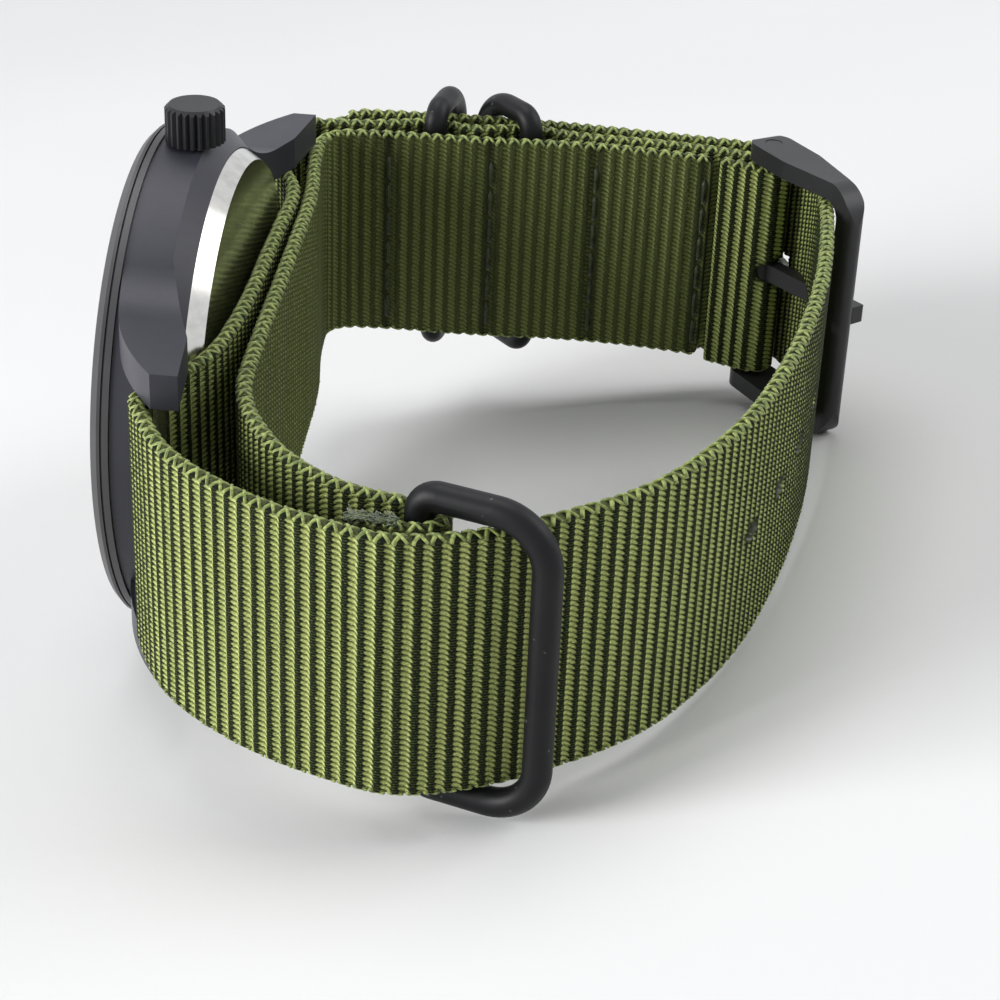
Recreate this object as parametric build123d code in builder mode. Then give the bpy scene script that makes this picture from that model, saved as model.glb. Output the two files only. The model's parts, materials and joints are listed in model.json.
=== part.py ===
from build123d import *
import os
from math import asin, atan2, cos, degrees, hypot, pi, radians, sin, tan

# Field watch on a pull-through nylon strap, buckled, standing on the nine o'clock edge of its case.
# Sizes are in millimetres. The pieces are drawn in the watch's own axes: X runs from the dial to the
# case back, Y to twelve o'clock and Z to the crown, and X = 0 is the front of the bezel. At the end
# every piece is turned so that the three feet of the standing watch are level, with +Z up.

# Clearances
press_gap = 0.02
run_gap = 0.05
seat_gap = 0.05
overrun = 1.0

# Case
case_dia = 40.0
bezel_height = 1.5
bezel_step = 0.2
bezel_chamfer = 0.6
bezel_groove = 0.15
bezel_groove_depth = 0.25
flank_height = 3.6
rear_slope = 1.4
case_wall = 2.8

# Lugs
lug_span = 54.2
lug_width = 2.7
lug_gap = 0.2
lug_blend = 7.0
lug_tip_drop = 5.25
lug_rear_drop = 7.25
lug_knee_rise = 0.75

# Case back
back_height = 1.3
back_bevel = 0.8
back_step = 0.1
snap_height = 0.8
snap_wall = 0.9
back_hollow = 0.2
back_gasket_width = 0.56
back_gasket_height = 0.35

# Crystal and dial
crystal_thick = 1.2
crystal_proud = 0.15
crystal_gap = 0.1
crystal_edge = 0.15
crystal_gasket_wall = 0.4
bezel_shelf = 0.6
chapter_height = 0.9
chapter_rim = 0.6
chapter_slope = 0.7
dial_thick = 0.4
dial_foot_r = 0.4
dial_foot_length = 0.45
marker_length = 2.0
marker_width = 0.7
marker_height = 0.1

# Hands
hand_bore = 1.0
hour_tip_gap = 6.48
hour_hand_width = 1.5
minute_tip_gap = 2.08
minute_hand_width = 1.2
seconds_tip_gap = 1.08
seconds_hand_width = 0.3
seconds_tail = 4.2
seconds_weight_r = 0.75
hand_thick = 0.14
hand_spacing = 0.32
shown_hour = 10
shown_minute = 9
shown_second = 36

# Movement
plate_r = 13.0
plate_thick = 1.2
plate_floor = 0.5
motion_recess = 0.7
bridge_r = 6.4
bridge_thick = 0.4
bridge_rise = 1.3
bridge_shift = 1.4
post_r = 0.7
screw_r = 0.3
screw_head_r = 0.55
screw_head_height = 0.2
arbor_r = 0.15
pivot_depth = 0.35
seconds_arbor_r = 0.22
cannon_r = 0.45
hour_pipe_r = 0.75
wheel_thick = 0.15
pinion_thick = 0.3
train_module = 0.13
rotor_module = 0.12
seconds_module = 0.2
rotor_r = 0.6
rotor_height = 0.4
stator_ring = 1.5
stator_thick = 0.24
core_width = 0.8
coil_r = 0.95
coil_length = 5.8
battery_r = 3.4
battery_height = 2.1
clamp_width = 2.2
clamp_thick = 0.2
board_thick = 0.35
chip_side = 2.2
chip_height = 0.5
quartz_can_r = 0.7
quartz_can_length = 4.6
holder_height = 2.85

# Crown and stem
crown_dia = 4.7
crown_height = 3.0
crown_chamfer = 0.35
crown_gap = 0.15
crown_flutes = 24
flute_r = 0.24
tube_r = 1.2
tube_wall = 0.48
tube_proud = 1.05
crown_bore_gap = 0.12
stem_depth = 4.1
stem_r = 0.45
stem_pilot_r = 0.3
stem_square = 0.62
stem_inner_end = 6.2
stem_groove = 0.5
stem_groove_depth = 0.2
crown_travel = 1.2
clutch_r = 0.8
clutch_length = 1.2
clutch_start = 1.8
lever_arm = 3.0
lever_pin_r = 0.15
lever_width = 0.9
lever_thick = 0.2
lever_stud_r = 0.3
crown_gasket_width = 0.5

# Spring bars
bar_r = 0.75
bar_bore_r = 0.55
bar_play = 0.4
bar_inset = 2.3
tip_r = 0.4
tip_shaft_r = 0.48
tip_length = 1.1
tip_shaft_length = 2.9
tip_hole_depth = 1.2

# Strap
strap_width = 20.0
strap_thick = 1.25
behind_bow = 0.7
back_clear = 0.45
loop_depth = 56.0
loop_half = 40.0
hole_length = 2.6
hole_width = 1.5
hole_pitch = 7.5
holes_before = 6
holes_after = 3

# Rings and buckle
wire_r = 1.05
ring_reach = 9.2
keeper_reach = 7.4
ring_half = 11.35
ring_inner_corner = 1.45
ring_outer_corner = 3.7
heel_bar_r = 0.75
buckle_half = 12.0
buckle_arm = 1.6
buckle_reach = 12.45
buckle_heel = 1.95
buckle_depth = 3.9
buckle_bar = 1.9
buckle_corner = 3.2
tongue_width = 1.6
tongue_depth = 1.3
tongue_eye = 0.75
tongue_over = 0.2
tongue_play = 0.5

# Places down the case axis
case_r = case_dia / 2
flank_r = case_r - bezel_step
bore_r = flank_r - case_wall
bezel_back = bezel_height
crystal_back = crystal_thick - crystal_proud
flank_back = bezel_back + flank_height
case_rear = flank_back + rear_slope
back_face = case_rear + back_height
rear_r = flank_r - rear_slope
dial_front = bezel_back + chapter_height
dial_back = dial_front + dial_thick
plate_back = dial_back + plate_thick
recess_floor = dial_back + motion_recess
bridge_front = plate_back + bridge_rise
bridge_back = bridge_front + bridge_thick
strap_half = strap_width / 2
lug_inner = strap_half + lug_gap
lug_outer = lug_inner + lug_width


def dial_plane(depth):
    """Plane across the case axis that faces the reader, with twelve o'clock up."""
    return Plane(origin=(depth, 0, 0), x_dir=(0, 0, 1), z_dir=(-1, 0, 0))


def ring_of(outer, inner, front, back):
    """Plain turned ring about the case axis."""
    with BuildSketch(Plane.YZ.offset(front)) as face:
        Circle(outer)
        Circle(inner, mode=Mode.SUBTRACT)
    extrude(face.sketch, amount=back - front)


def disc_of(centre, radius, front, back, mode=Mode.ADD):
    """Round boss or hole along the case axis, at a place on the movement."""
    with BuildSketch(Plane.YZ.offset(front)) as face:
        with Locations(centre):
            Circle(radius)
    extrude(face.sketch, amount=back - front, mode=mode)


def post_of(centre, radius, low, high, mode=Mode.ADD):
    """Round boss or hole along the crown's direction."""
    with BuildSketch(Plane.XY.offset(low)) as face:
        with Locations(centre):
            Circle(radius)
    extrude(face.sketch, amount=high - low, mode=mode)


# Middle of the case: turned ring with four lugs that flow into its flank
tip_y = lug_span / 2
lug_shoulder_share = 0.6
lug_root_share = 0.63
lug_knee_share = 0.767
bar_y = tip_y - bar_inset
bars = ((case_rear, bar_y), (case_rear, -bar_y))
crown_z = flank_r + crown_gap

with BuildPart() as mid_case:
    with BuildSketch(Plane.YZ.offset(bezel_back)) as plan:
        Circle(flank_r)
        Rectangle(lug_span, 2 * lug_outer)
        fillet(plan.vertices().filter_by(lambda v: abs(v.X) < flank_r), lug_blend)
        Rectangle(2 * lug_span, 2 * lug_inner, mode=Mode.SUBTRACT)
        Circle(flank_r)
    extrude(amount=case_dia)
    with BuildSketch(Plane.XY):
        with BuildLine():
            shoulder = (bezel_back, lug_shoulder_share * flank_r)
            tip_front = (bezel_back + lug_tip_drop, tip_y)
            Line((bezel_back, 0), shoulder)
            TangentArc(shoulder, tip_front, tangent=(0, 1))
            Polyline(
                tip_front,
                (bezel_back + lug_rear_drop, tip_y),
                (bezel_back + lug_rear_drop - lug_knee_rise, lug_knee_share * tip_y),
                (flank_back, lug_root_share * flank_r),
                (flank_back, 0),
                (bezel_back, 0),
            )
        make_face()
        mirror(about=Plane.XZ)
    extrude(amount=case_dia, both=True, mode=Mode.INTERSECT)
    with BuildSketch(Plane.YZ.offset(flank_back)):
        Rectangle(2 * lug_span, 2 * lug_inner)
    extrude(amount=case_dia, mode=Mode.SUBTRACT)
    with BuildSketch(Plane.XY):
        with BuildLine():
            Polyline(
                (flank_back, bore_r),
                (flank_back, flank_r),
                (case_rear, rear_r),
                (case_rear, bore_r),
                close=True,
            )
        make_face()
    revolve(axis=Axis.X)
    disc_of((0, 0), bore_r, bezel_back, case_rear, mode=Mode.SUBTRACT)
    with BuildSketch(Plane.XY):
        with Locations(*bars):
            Circle(tip_r + run_gap)
    extrude(amount=lug_inner + tip_hole_depth, both=True, mode=Mode.SUBTRACT)
    post_of((stem_depth, 0), tube_r + press_gap, bore_r - overrun, case_r, mode=Mode.SUBTRACT)
    with BuildSketch(Plane.YZ.offset(case_rear - back_gasket_height)):
        Circle(rear_r - back_gasket_width)
        Circle(rear_r - 2 * back_gasket_width, mode=Mode.SUBTRACT)
    extrude(amount=back_gasket_height, mode=Mode.SUBTRACT)

# Bezel: chamfered ring with a fine groove, and a shelf that the crystal rests on
crystal_r = bore_r - crystal_gap
shelf_r = crystal_r - bezel_shelf
gasket_r = crystal_r + crystal_gasket_wall

with BuildPart() as bezel:
    with BuildSketch(Plane.XY):
        with BuildLine():
            groove_back = bezel_back - 2 * bezel_groove_depth
            Polyline(
                (0, gasket_r + press_gap),
                (0, case_r - bezel_chamfer),
                (bezel_chamfer, case_r),
                (groove_back - bezel_groove, case_r),
                (groove_back - bezel_groove, case_r - bezel_groove_depth),
                (groove_back, case_r - bezel_groove_depth),
                (groove_back, case_r),
                (bezel_back, case_r),
                (bezel_back, shelf_r),
                (crystal_back, shelf_r),
                (crystal_back, gasket_r + press_gap),
                close=True,
            )
        make_face()
    revolve(axis=Axis.X)

# Crystal: flat glass that stands a little proud of the bezel, with an eased edge
with BuildPart() as crystal:
    disc_of((0, 0), crystal_r, -crystal_proud, crystal_back)
    chamfer(crystal.edges().sort_by(Axis.X)[0], crystal_edge)

with BuildPart() as crystal_gasket:
    ring_of(gasket_r, crystal_r + press_gap, bezel_groove, crystal_back)

# Case back: snap-on steel plate with a bevelled rim, hollow inside its snap ring
back_r = rear_r - back_step
snap_r = bore_r - press_gap
inner_back = case_rear - back_hollow

with BuildPart() as case_back:
    with BuildSketch(Plane.XY):
        with BuildLine():
            Polyline(
                (inner_back, 0),
                (inner_back, snap_r - snap_wall),
                (case_rear - snap_height, snap_r - snap_wall),
                (case_rear - snap_height, snap_r),
                (case_rear, snap_r),
                (case_rear, back_r),
                (back_face, back_r - back_bevel),
                (back_face, 0),
                close=True,
            )
        make_face()
    revolve(axis=Axis.X)

with BuildPart() as case_back_gasket:
    ring_of(
        rear_r - back_gasket_width - press_gap,
        rear_r - 2 * back_gasket_width + press_gap,
        case_rear - back_gasket_height + press_gap,
        case_rear,
    )

# Chapter ring, and dial with twelve raised markers and two feet
with BuildPart() as chapter_ring:
    with BuildSketch(Plane.XY):
        with BuildLine():
            Polyline(
                (bezel_back, snap_r),
                (dial_front, snap_r),
                (dial_front, snap_r - chapter_rim - chapter_slope),
                (bezel_back, snap_r - chapter_rim),
                close=True,
            )
        make_face()
    revolve(axis=Axis.X)

dial_reach = snap_r - chapter_rim - chapter_slope
marker_r = dial_reach - marker_length
dial_foot_share = 0.92
dial_feet = [
    (dial_foot_share * plate_r * cos(turn), dial_foot_share * plate_r * sin(turn))
    for turn in (pi / 4, -3 * pi / 4)
]

with BuildPart() as dial:
    disc_of((0, 0), snap_r, dial_front, dial_back)
    disc_of((0, 0), hour_pipe_r + 2 * run_gap, dial_front, dial_back, mode=Mode.SUBTRACT)
    with BuildSketch(dial_plane(dial_front)):
        with PolarLocations(marker_r, 12):
            Rectangle(marker_length, marker_width)
    extrude(amount=marker_height)
    for foot in dial_feet:
        disc_of(foot, dial_foot_r, dial_back, dial_back + dial_foot_length)


def hand_blade(length, half, hub, bore, tail, plane, turn):
    """Flat pointed hand with a round hub, turned clockwise from twelve o'clock."""
    blade_shares = ((0.45, 0), (0.45, 0.22), (1, 0.6), (0.12, 1))
    with BuildSketch(plane) as face:
        with Locations(Location((0, 0, 0), (0, 0, -turn))):
            right = [(across * half, along * length) for across, along in blade_shares]
            left = [(-x, y) for x, y in reversed(right)]
            Polygon(*right, *left, align=None)
            Circle(hub)
            if tail > 0:
                with Locations((0, -tail)):
                    Circle(seconds_weight_r)
                Rectangle(2 * half, tail, align=(Align.CENTER, Align.MAX))
            Circle(bore, mode=Mode.SUBTRACT)
    extrude(face.sketch, amount=hand_thick)


# Hands, stacked from the seconds hand down, set to one time that all three agree on
seconds_x = dial_front - 3 * hand_spacing
minute_x = dial_front - 2 * hand_spacing
hour_x = dial_front - hand_spacing
second_turn = shown_second / 60 * 360
minute_turn = (shown_minute + shown_second / 60) / 60 * 360
hour_turn = (shown_hour + minute_turn / 360) / 12 * 360

with BuildPart() as seconds_hand:
    hand_blade(
        dial_reach - seconds_tip_gap,
        seconds_hand_width,
        3 * seconds_arbor_r,
        seconds_arbor_r + press_gap,
        seconds_tail,
        dial_plane(seconds_x),
        second_turn,
    )

with BuildPart() as minute_hand:
    hand_blade(
        dial_reach - minute_tip_gap,
        minute_hand_width,
        hand_bore,
        cannon_r + press_gap,
        0,
        dial_plane(minute_x),
        minute_turn,
    )

with BuildPart() as hour_hand:
    hand_blade(
        dial_reach - hour_tip_gap,
        hour_hand_width,
        1.3 * hand_bore,
        hour_pipe_r + press_gap,
        0,
        dial_plane(hour_x),
        hour_turn,
    )


# Wheel train: each wheel has slender pointed teeth, and a gap on the line to the pinion that meets it
cannon_teeth = 10
minute_teeth = 30
minute_pinion_teeth = 8
hour_teeth = 32
centre_teeth = 45
third_pinion_teeth = 6
third_teeth = 48
seconds_pinion_teeth = 6
seconds_teeth = 30
step_pinion_teeth = 6
step_teeth = 36
rotor_teeth = 6
motion_reach = train_module * (cannon_teeth + minute_teeth) / 2
third_reach = train_module * (third_teeth + seconds_pinion_teeth) / 2
centre_module = 2 * third_reach / (centre_teeth + third_pinion_teeth)
step_reach = seconds_module * (seconds_teeth + step_pinion_teeth) / 2
rotor_reach = rotor_module * (step_teeth + rotor_teeth) / 2


def beyond(start, reach, turn):
    """Place on the movement at a reach and a direction, in degrees, from another place."""
    return (start[0] + reach * cos(radians(turn)), start[1] + reach * sin(radians(turn)))


centre = (0, 0)
minute_place = beyond(centre, motion_reach, 150)
third_place = beyond(centre, third_reach, 250)
step_place = beyond(centre, step_reach, 120)
rotor_place = beyond(step_place, rotor_reach, 180)


def gear(place, mate, count, module, front, thick, gap_at_mate):
    """Toothed disc at a place, with a tooth or a gap on the line to its mate."""
    root_share, tip_share = 0.2, 0.08
    root_r = module * (count / 2 - 1.25)
    tip_r = module * (count / 2 + 0.85)
    pitch = 2 * pi / count
    start = atan2(mate[1] - place[1], mate[0] - place[0])
    start = start + pitch / 2 if gap_at_mate else start
    outline = []
    for tooth in range(count):
        middle = start + tooth * pitch
        for radius, turn in (
            (root_r, -root_share * pitch),
            (tip_r, -tip_share * pitch),
            (tip_r, tip_share * pitch),
            (root_r, root_share * pitch),
        ):
            angle = middle + turn
            outline.append((place[0] + radius * cos(angle), place[1] + radius * sin(angle)))
    with BuildSketch(Plane.YZ.offset(front)) as face:
        Polygon(*outline, align=None)
    extrude(face.sketch, amount=thick)


# Levels of the train between the plate and the bridge, from the dial side back
hour_level = dial_back + seat_gap * 2
motion_level = hour_level + wheel_thick + seat_gap * 2
centre_level = plate_back + seat_gap * 2
step_level = centre_level + wheel_thick + seat_gap * 2
third_level = step_level + wheel_thick + seat_gap * 2
seconds_level = third_level + pinion_thick + seat_gap * 2

with BuildPart() as seconds_wheel:
    gear(centre, step_place, seconds_teeth, seconds_module, seconds_level, wheel_thick, True)
    gear(centre, third_place, seconds_pinion_teeth, train_module, third_level, pinion_thick, False)
    disc_of(centre, seconds_arbor_r, seconds_x - hand_thick, bridge_back - seat_gap)

with BuildPart() as third_wheel:
    gear(third_place, centre, third_teeth, train_module, third_level + seat_gap, wheel_thick, True)
    gear(third_place, centre, third_pinion_teeth, centre_module, centre_level, pinion_thick, False)
    disc_of(third_place, arbor_r, plate_back - pivot_depth, bridge_back - seat_gap)

with BuildPart() as centre_wheel:
    gear(centre, third_place, centre_teeth, centre_module, centre_level, wheel_thick, True)
    gear(centre, minute_place, cannon_teeth, train_module, motion_level, pinion_thick, False)
    disc_of(centre, cannon_r, minute_x - hand_thick, centre_level + wheel_thick)
    disc_of(
        centre,
        seconds_arbor_r + run_gap,
        minute_x - hand_thick,
        centre_level + wheel_thick,
        mode=Mode.SUBTRACT,
    )

with BuildPart() as minute_wheel:
    gear(minute_place, centre, minute_teeth, train_module, motion_level + seat_gap, wheel_thick, True)
    gear(minute_place, centre, minute_pinion_teeth, train_module, hour_level, pinion_thick, False)
    disc_of(minute_place, arbor_r, dial_back + seat_gap, recess_floor + pivot_depth)

with BuildPart() as hour_wheel:
    gear(centre, minute_place, hour_teeth, train_module, hour_level, wheel_thick, True)
    disc_of(centre, hour_pipe_r, hour_x - hand_thick, hour_level + wheel_thick)
    disc_of(
        centre,
        cannon_r + run_gap,
        hour_x - hand_thick,
        hour_level + wheel_thick,
        mode=Mode.SUBTRACT,
    )

with BuildPart() as step_wheel:
    gear(step_place, rotor_place, step_teeth, rotor_module, step_level, wheel_thick, True)
    pinion_level = seconds_level - seat_gap
    gear(step_place, centre, step_pinion_teeth, seconds_module, pinion_level, pinion_thick, False)
    disc_of(step_place, arbor_r, plate_back - pivot_depth, bridge_back - seat_gap)

magnet_level = step_level + wheel_thick + pinion_thick
with BuildPart() as rotor:
    gear(rotor_place, step_place, rotor_teeth, rotor_module, step_level - seat_gap, pinion_thick, False)
    disc_of(rotor_place, arbor_r, plate_back - pivot_depth, bridge_back - seat_gap)
    disc_of(rotor_place, rotor_r, magnet_level, magnet_level + rotor_height)

# Main plate, bridge, motor and battery
battery_share = (0.68, -0.08)
battery_place = (battery_share[0] * plate_r, battery_share[1] * plate_r)
post_shares = ((0.32, 0.2), (0.3, -0.26), (-0.56, 0.0))
posts = [(across * plate_r, up * plate_r) for across, up in post_shares]
lever_swing = degrees(asin(crown_travel / 2 / lever_arm))
groove_share = 0.8
groove_z = groove_share * plate_r
lever_pivot = (-lever_arm * cos(radians(lever_swing)), groove_z + crown_travel / 2)
clutch_z = stem_inner_end + clutch_start

with BuildPart() as main_plate:
    disc_of(centre, plate_r, dial_back, plate_back)
    disc_of(centre, train_module * hour_teeth * 0.62, dial_back, recess_floor, mode=Mode.SUBTRACT)
    disc_of(minute_place, train_module * minute_teeth * 0.62, dial_back, recess_floor, mode=Mode.SUBTRACT)
    disc_of(centre, cannon_r + run_gap, recess_floor, plate_back, mode=Mode.SUBTRACT)
    disc_of(battery_place, battery_r + run_gap, dial_back + plate_floor, plate_back, mode=Mode.SUBTRACT)
    disc_of(minute_place, arbor_r + run_gap, recess_floor, plate_back, mode=Mode.SUBTRACT)
    for place in (third_place, step_place, rotor_place):
        disc_of(place, arbor_r + run_gap, recess_floor, plate_back, mode=Mode.SUBTRACT)
    for foot in dial_feet:
        disc_of(foot, dial_foot_r + run_gap, dial_back, plate_back, mode=Mode.SUBTRACT)
    disc_of(lever_pivot, lever_stud_r + run_gap, recess_floor, plate_back, mode=Mode.SUBTRACT)
    with BuildSketch(Plane.YZ.offset(stem_depth - stem_r - seat_gap)):
        with Locations((0, stem_inner_end - seat_gap)):
            Rectangle(2 * (stem_r + seat_gap), plate_r, align=(Align.CENTER, Align.MIN))
    extrude(amount=plate_thick, mode=Mode.SUBTRACT)
    with BuildSketch(Plane.YZ.offset(stem_depth - clutch_r - seat_gap)):
        with Locations((0, clutch_z - seat_gap)):
            Rectangle(
                2 * (clutch_r + seat_gap),
                clutch_length + 2 * seat_gap,
                align=(Align.CENTER, Align.MIN),
            )
    extrude(amount=plate_thick, mode=Mode.SUBTRACT)
    for post in posts:
        disc_of(post, post_r, plate_back, bridge_front)
        disc_of(post, screw_r + press_gap, plate_back, bridge_front, mode=Mode.SUBTRACT)

bridge_place = (-bridge_shift, 0)
with BuildPart() as train_bridge:
    disc_of(bridge_place, bridge_r, bridge_front, bridge_back)
    for place in (third_place, step_place, rotor_place):
        disc_of(place, arbor_r + run_gap, bridge_front, bridge_back, mode=Mode.SUBTRACT)
    disc_of(centre, seconds_arbor_r + run_gap, bridge_front, bridge_back, mode=Mode.SUBTRACT)
    for post in posts:
        disc_of(post, screw_r + press_gap, bridge_front, bridge_back, mode=Mode.SUBTRACT)

with BuildPart() as bridge_screws:
    for post in posts:
        disc_of(post, screw_r, plate_back + seat_gap, bridge_back)
        disc_of(post, screw_head_r, bridge_back, bridge_back + screw_head_height)

coil_share = (-0.74, -0.06)
coil_place = (coil_share[0] * plate_r, coil_share[1] * plate_r)
coil_x = plate_back + coil_r + seat_gap
stator_level = coil_x - stator_thick / 2

with BuildPart() as stator:
    with BuildSketch(Plane.YZ.offset(stator_level)):
        with Locations(rotor_place):
            Circle(stator_ring)
        with Locations((coil_place[0] - core_width / 2, rotor_place[1])):
            Rectangle(
                rotor_place[0] - coil_place[0],
                2 * core_width,
                align=(Align.MIN, Align.CENTER),
            )
        with Locations((coil_place[0], rotor_place[1] + core_width)):
            Rectangle(core_width, coil_length + 3 * core_width, align=(Align.CENTER, Align.MAX))
        with Locations(rotor_place):
            Circle(rotor_r + 3 * run_gap, mode=Mode.SUBTRACT)
    extrude(amount=stator_thick)

coil_top = rotor_place[1] - core_width - seat_gap
with BuildPart() as coil:
    post_of((coil_x, coil_place[0]), coil_r, coil_top - coil_length, coil_top)
    with BuildSketch(Plane.XY.offset(coil_top)):
        with Locations((coil_x, coil_place[0])):
            Rectangle(stator_thick + 2 * press_gap, core_width + 2 * press_gap)
    extrude(amount=-coil_length, mode=Mode.SUBTRACT)

battery_front = dial_back + plate_floor + seat_gap
with BuildPart() as battery:
    disc_of(battery_place, battery_r, battery_front, battery_front + battery_height)
    chamfer(battery.edges().sort_by(Axis.X)[-1], screw_head_height)

clamp_front = battery_front + battery_height + seat_gap
clamp_foot = battery_place[1] + battery_r + clamp_width / 2
with BuildPart() as battery_clamp:
    with BuildSketch(Plane.YZ.offset(clamp_front)):
        with Locations((battery_place[0], clamp_foot + clamp_width / 2)):
            Rectangle(clamp_width, 2 * battery_r, align=(Align.CENTER, Align.MAX))
    extrude(amount=clamp_thick)
    with BuildSketch(Plane.YZ.offset(plate_back)):
        with Locations((battery_place[0], clamp_foot)):
            Rectangle(clamp_width, clamp_width / 2)
    extrude(amount=clamp_front - plate_back)

board_share = 0.56
board_z = -board_share * plate_r
board_r = plate_r - 2 * pivot_depth
with BuildPart() as circuit_board:
    with BuildSketch(Plane.YZ.offset(plate_back)):
        Circle(board_r)
        with Locations((0, board_z)):
            Rectangle(4 * plate_r, 4 * plate_r, align=(Align.CENTER, Align.MIN), mode=Mode.SUBTRACT)
    extrude(amount=board_thick)
    with BuildSketch(Plane.YZ.offset(plate_back + board_thick)):
        with Locations((-chip_side, board_z - chip_side)):
            Rectangle(chip_side, chip_side)
    extrude(amount=chip_height)

with BuildPart() as quartz_can:
    with BuildSketch(Plane.XZ):
        with Locations((plate_back + board_thick + quartz_can_r + press_gap, board_z - chip_side)):
            Circle(quartz_can_r)
    extrude(amount=-quartz_can_length)

# Holder ring that centres the movement in the case, with a tunnel for the stem
with BuildPart() as movement_holder:
    ring_of(snap_r, plate_r + seat_gap, dial_back, dial_back + holder_height)
    post_of((stem_depth, 0), stem_r + 4 * run_gap, 0, case_r, mode=Mode.SUBTRACT)

# Crown, stem and what they turn
tube_top = crown_z + tube_proud
crown_top = crown_z + crown_height
stem_end = crown_top - 2 * crown_chamfer
crown_bore_top = tube_top + crown_gap
stem_place = (stem_depth, 0)

with BuildPart() as crown_tube:
    post_of(stem_place, tube_r, bore_r, tube_top)
    post_of(stem_place, tube_r - tube_wall, bore_r, tube_top, mode=Mode.SUBTRACT)

with BuildPart() as crown:
    post_of(stem_place, crown_dia / 2, crown_z, crown_top)
    chamfer(crown.edges().group_by(Axis.Z)[-1], crown_chamfer)
    with BuildSketch(Plane.XY.offset(crown_z)):
        with Locations(stem_place):
            with PolarLocations(crown_dia / 2, crown_flutes):
                RegularPolygon(flute_r, 4)
    extrude(amount=crown_height, mode=Mode.SUBTRACT)
    post_of(stem_place, tube_r + crown_bore_gap, crown_z, crown_bore_top, mode=Mode.SUBTRACT)
    post_of(stem_place, stem_r + press_gap, crown_z, stem_end, mode=Mode.SUBTRACT)

square_low = clutch_z - crown_travel - seat_gap
square_high = clutch_z + clutch_length + seat_gap
with BuildPart() as stem:
    post_of(stem_place, stem_pilot_r, stem_inner_end, square_low)
    with BuildSketch(Plane.XY.offset(square_low)):
        with Locations(stem_place):
            Rectangle(stem_square, stem_square)
    extrude(amount=square_high - square_low)
    post_of(stem_place, stem_r, square_high, stem_end)
    with BuildSketch(Plane.XY.offset(groove_z - stem_groove / 2)):
        with Locations(stem_place):
            Circle(stem_r + overrun)
            Circle(stem_r - stem_groove_depth, mode=Mode.SUBTRACT)
    extrude(amount=stem_groove, mode=Mode.SUBTRACT)

with BuildPart() as clutch_wheel:
    with BuildSketch(Plane.XY.offset(clutch_z)):
        with Locations(stem_place):
            RegularPolygon(clutch_r, 12)
            Rectangle(stem_square + 2 * run_gap, stem_square + 2 * run_gap, mode=Mode.SUBTRACT)
    extrude(amount=clutch_length)

tube_bore_r = tube_r - tube_wall
gasket_z = (bore_r + tube_top) / 2
with BuildPart() as crown_gasket:
    with BuildSketch(Plane.XY.offset(gasket_z - crown_gasket_width)):
        with Locations(stem_place):
            Circle(tube_bore_r - run_gap)
            Circle(stem_r + press_gap, mode=Mode.SUBTRACT)
    extrude(amount=crown_gasket_width)

# Setting lever: swings on a stud in the plate, with its pin in the groove of the stem
lever_front = stem_depth + stem_r + seat_gap
with BuildPart() as setting_lever:
    with BuildSketch(Plane.YZ.offset(lever_front)):
        with BuildLine():
            Line(lever_pivot, (0, groove_z))
        trace(line_width=lever_width)
        with Locations(lever_pivot, (0, groove_z)):
            Circle(lever_width / 2)
    extrude(amount=lever_thick)
    disc_of(lever_pivot, lever_stud_r, recess_floor + pivot_depth, lever_front)
    disc_of((0, groove_z), lever_pin_r, lever_front - stem_groove_depth, lever_front)

# Spring bars: a tube, and at each end a sprung tip that seats in a blind hole in the lug
bar_half = lug_inner - bar_play


with BuildPart() as spring_bar_12:
    post_of(bars[0], bar_r, -bar_half, bar_half)
    post_of(bars[0], bar_bore_r, -bar_half, bar_half, mode=Mode.SUBTRACT)

with BuildPart() as spring_bar_6:
    post_of(bars[1], bar_r, -bar_half, bar_half)
    post_of(bars[1], bar_bore_r, -bar_half, bar_half, mode=Mode.SUBTRACT)


def bar_tip(place, side):
    """Stepped pin: a shaft that slides in the tube and a thin end for the lug hole."""
    shoulder = side * (bar_half + run_gap)
    with BuildSketch(Plane.XY.offset(shoulder - side * tip_shaft_length)) as shaft:
        with Locations(place):
            Circle(tip_shaft_r)
    extrude(shaft.sketch, amount=side * tip_shaft_length)
    with BuildSketch(Plane.XY.offset(shoulder)) as end:
        with Locations(place):
            Circle(tip_r)
    extrude(end.sketch, amount=side * (lug_inner - bar_half + tip_length))


tips = {}
for hour, place in (("12", bars[0]), ("6", bars[1])):
    for end, side in (("crown", 1), ("far", -1)):
        with BuildPart() as tip:
            bar_tip(place, side)
        tips[f"bar_tip_{hour}_{end}"] = tip

# Strap routes: each is a line of corners in the XY plane, rounded as far as its runs allow.
# A corner at a bar is worked out from the bar, so that the strap goes round it.
half_thick = strap_thick / 2
bar_wrap = bar_r + press_gap + half_thick
ring_wrap = wire_r + press_gap + half_thick
heel_wrap = heel_bar_r + press_gap + half_thick


def spot(share):
    """Place in the strap's loop from shares of its depth and of half its length."""
    return (share[0] * loop_depth, share[1] * loop_half)


def step_from(start, heading, ahead, left):
    """Place ahead of and to the left of a start, for a heading in degrees."""
    turn = radians(heading)
    return (
        start[0] + ahead * cos(turn) - left * sin(turn),
        start[1] + ahead * sin(turn) + left * cos(turn),
    )


def around(before, bar, after, reach):
    """Corner of a route that keeps a bar on its left, at the distance reach from its centre."""
    in_x, in_y = bar[0] - before[0], bar[1] - before[1]
    out_x, out_y = after[0] - bar[0], after[1] - bar[1]
    into = atan2(in_y, in_x) - asin(reach / hypot(in_x, in_y))
    out = atan2(out_y, out_x) + asin(reach / hypot(out_x, out_y))
    turn = (out - into + pi) % (2 * pi) - pi
    away = into + turn / 2 - pi / 2
    span = reach / cos(turn / 2)
    return (bar[0] + span * cos(away), bar[1] + span * sin(away))


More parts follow.
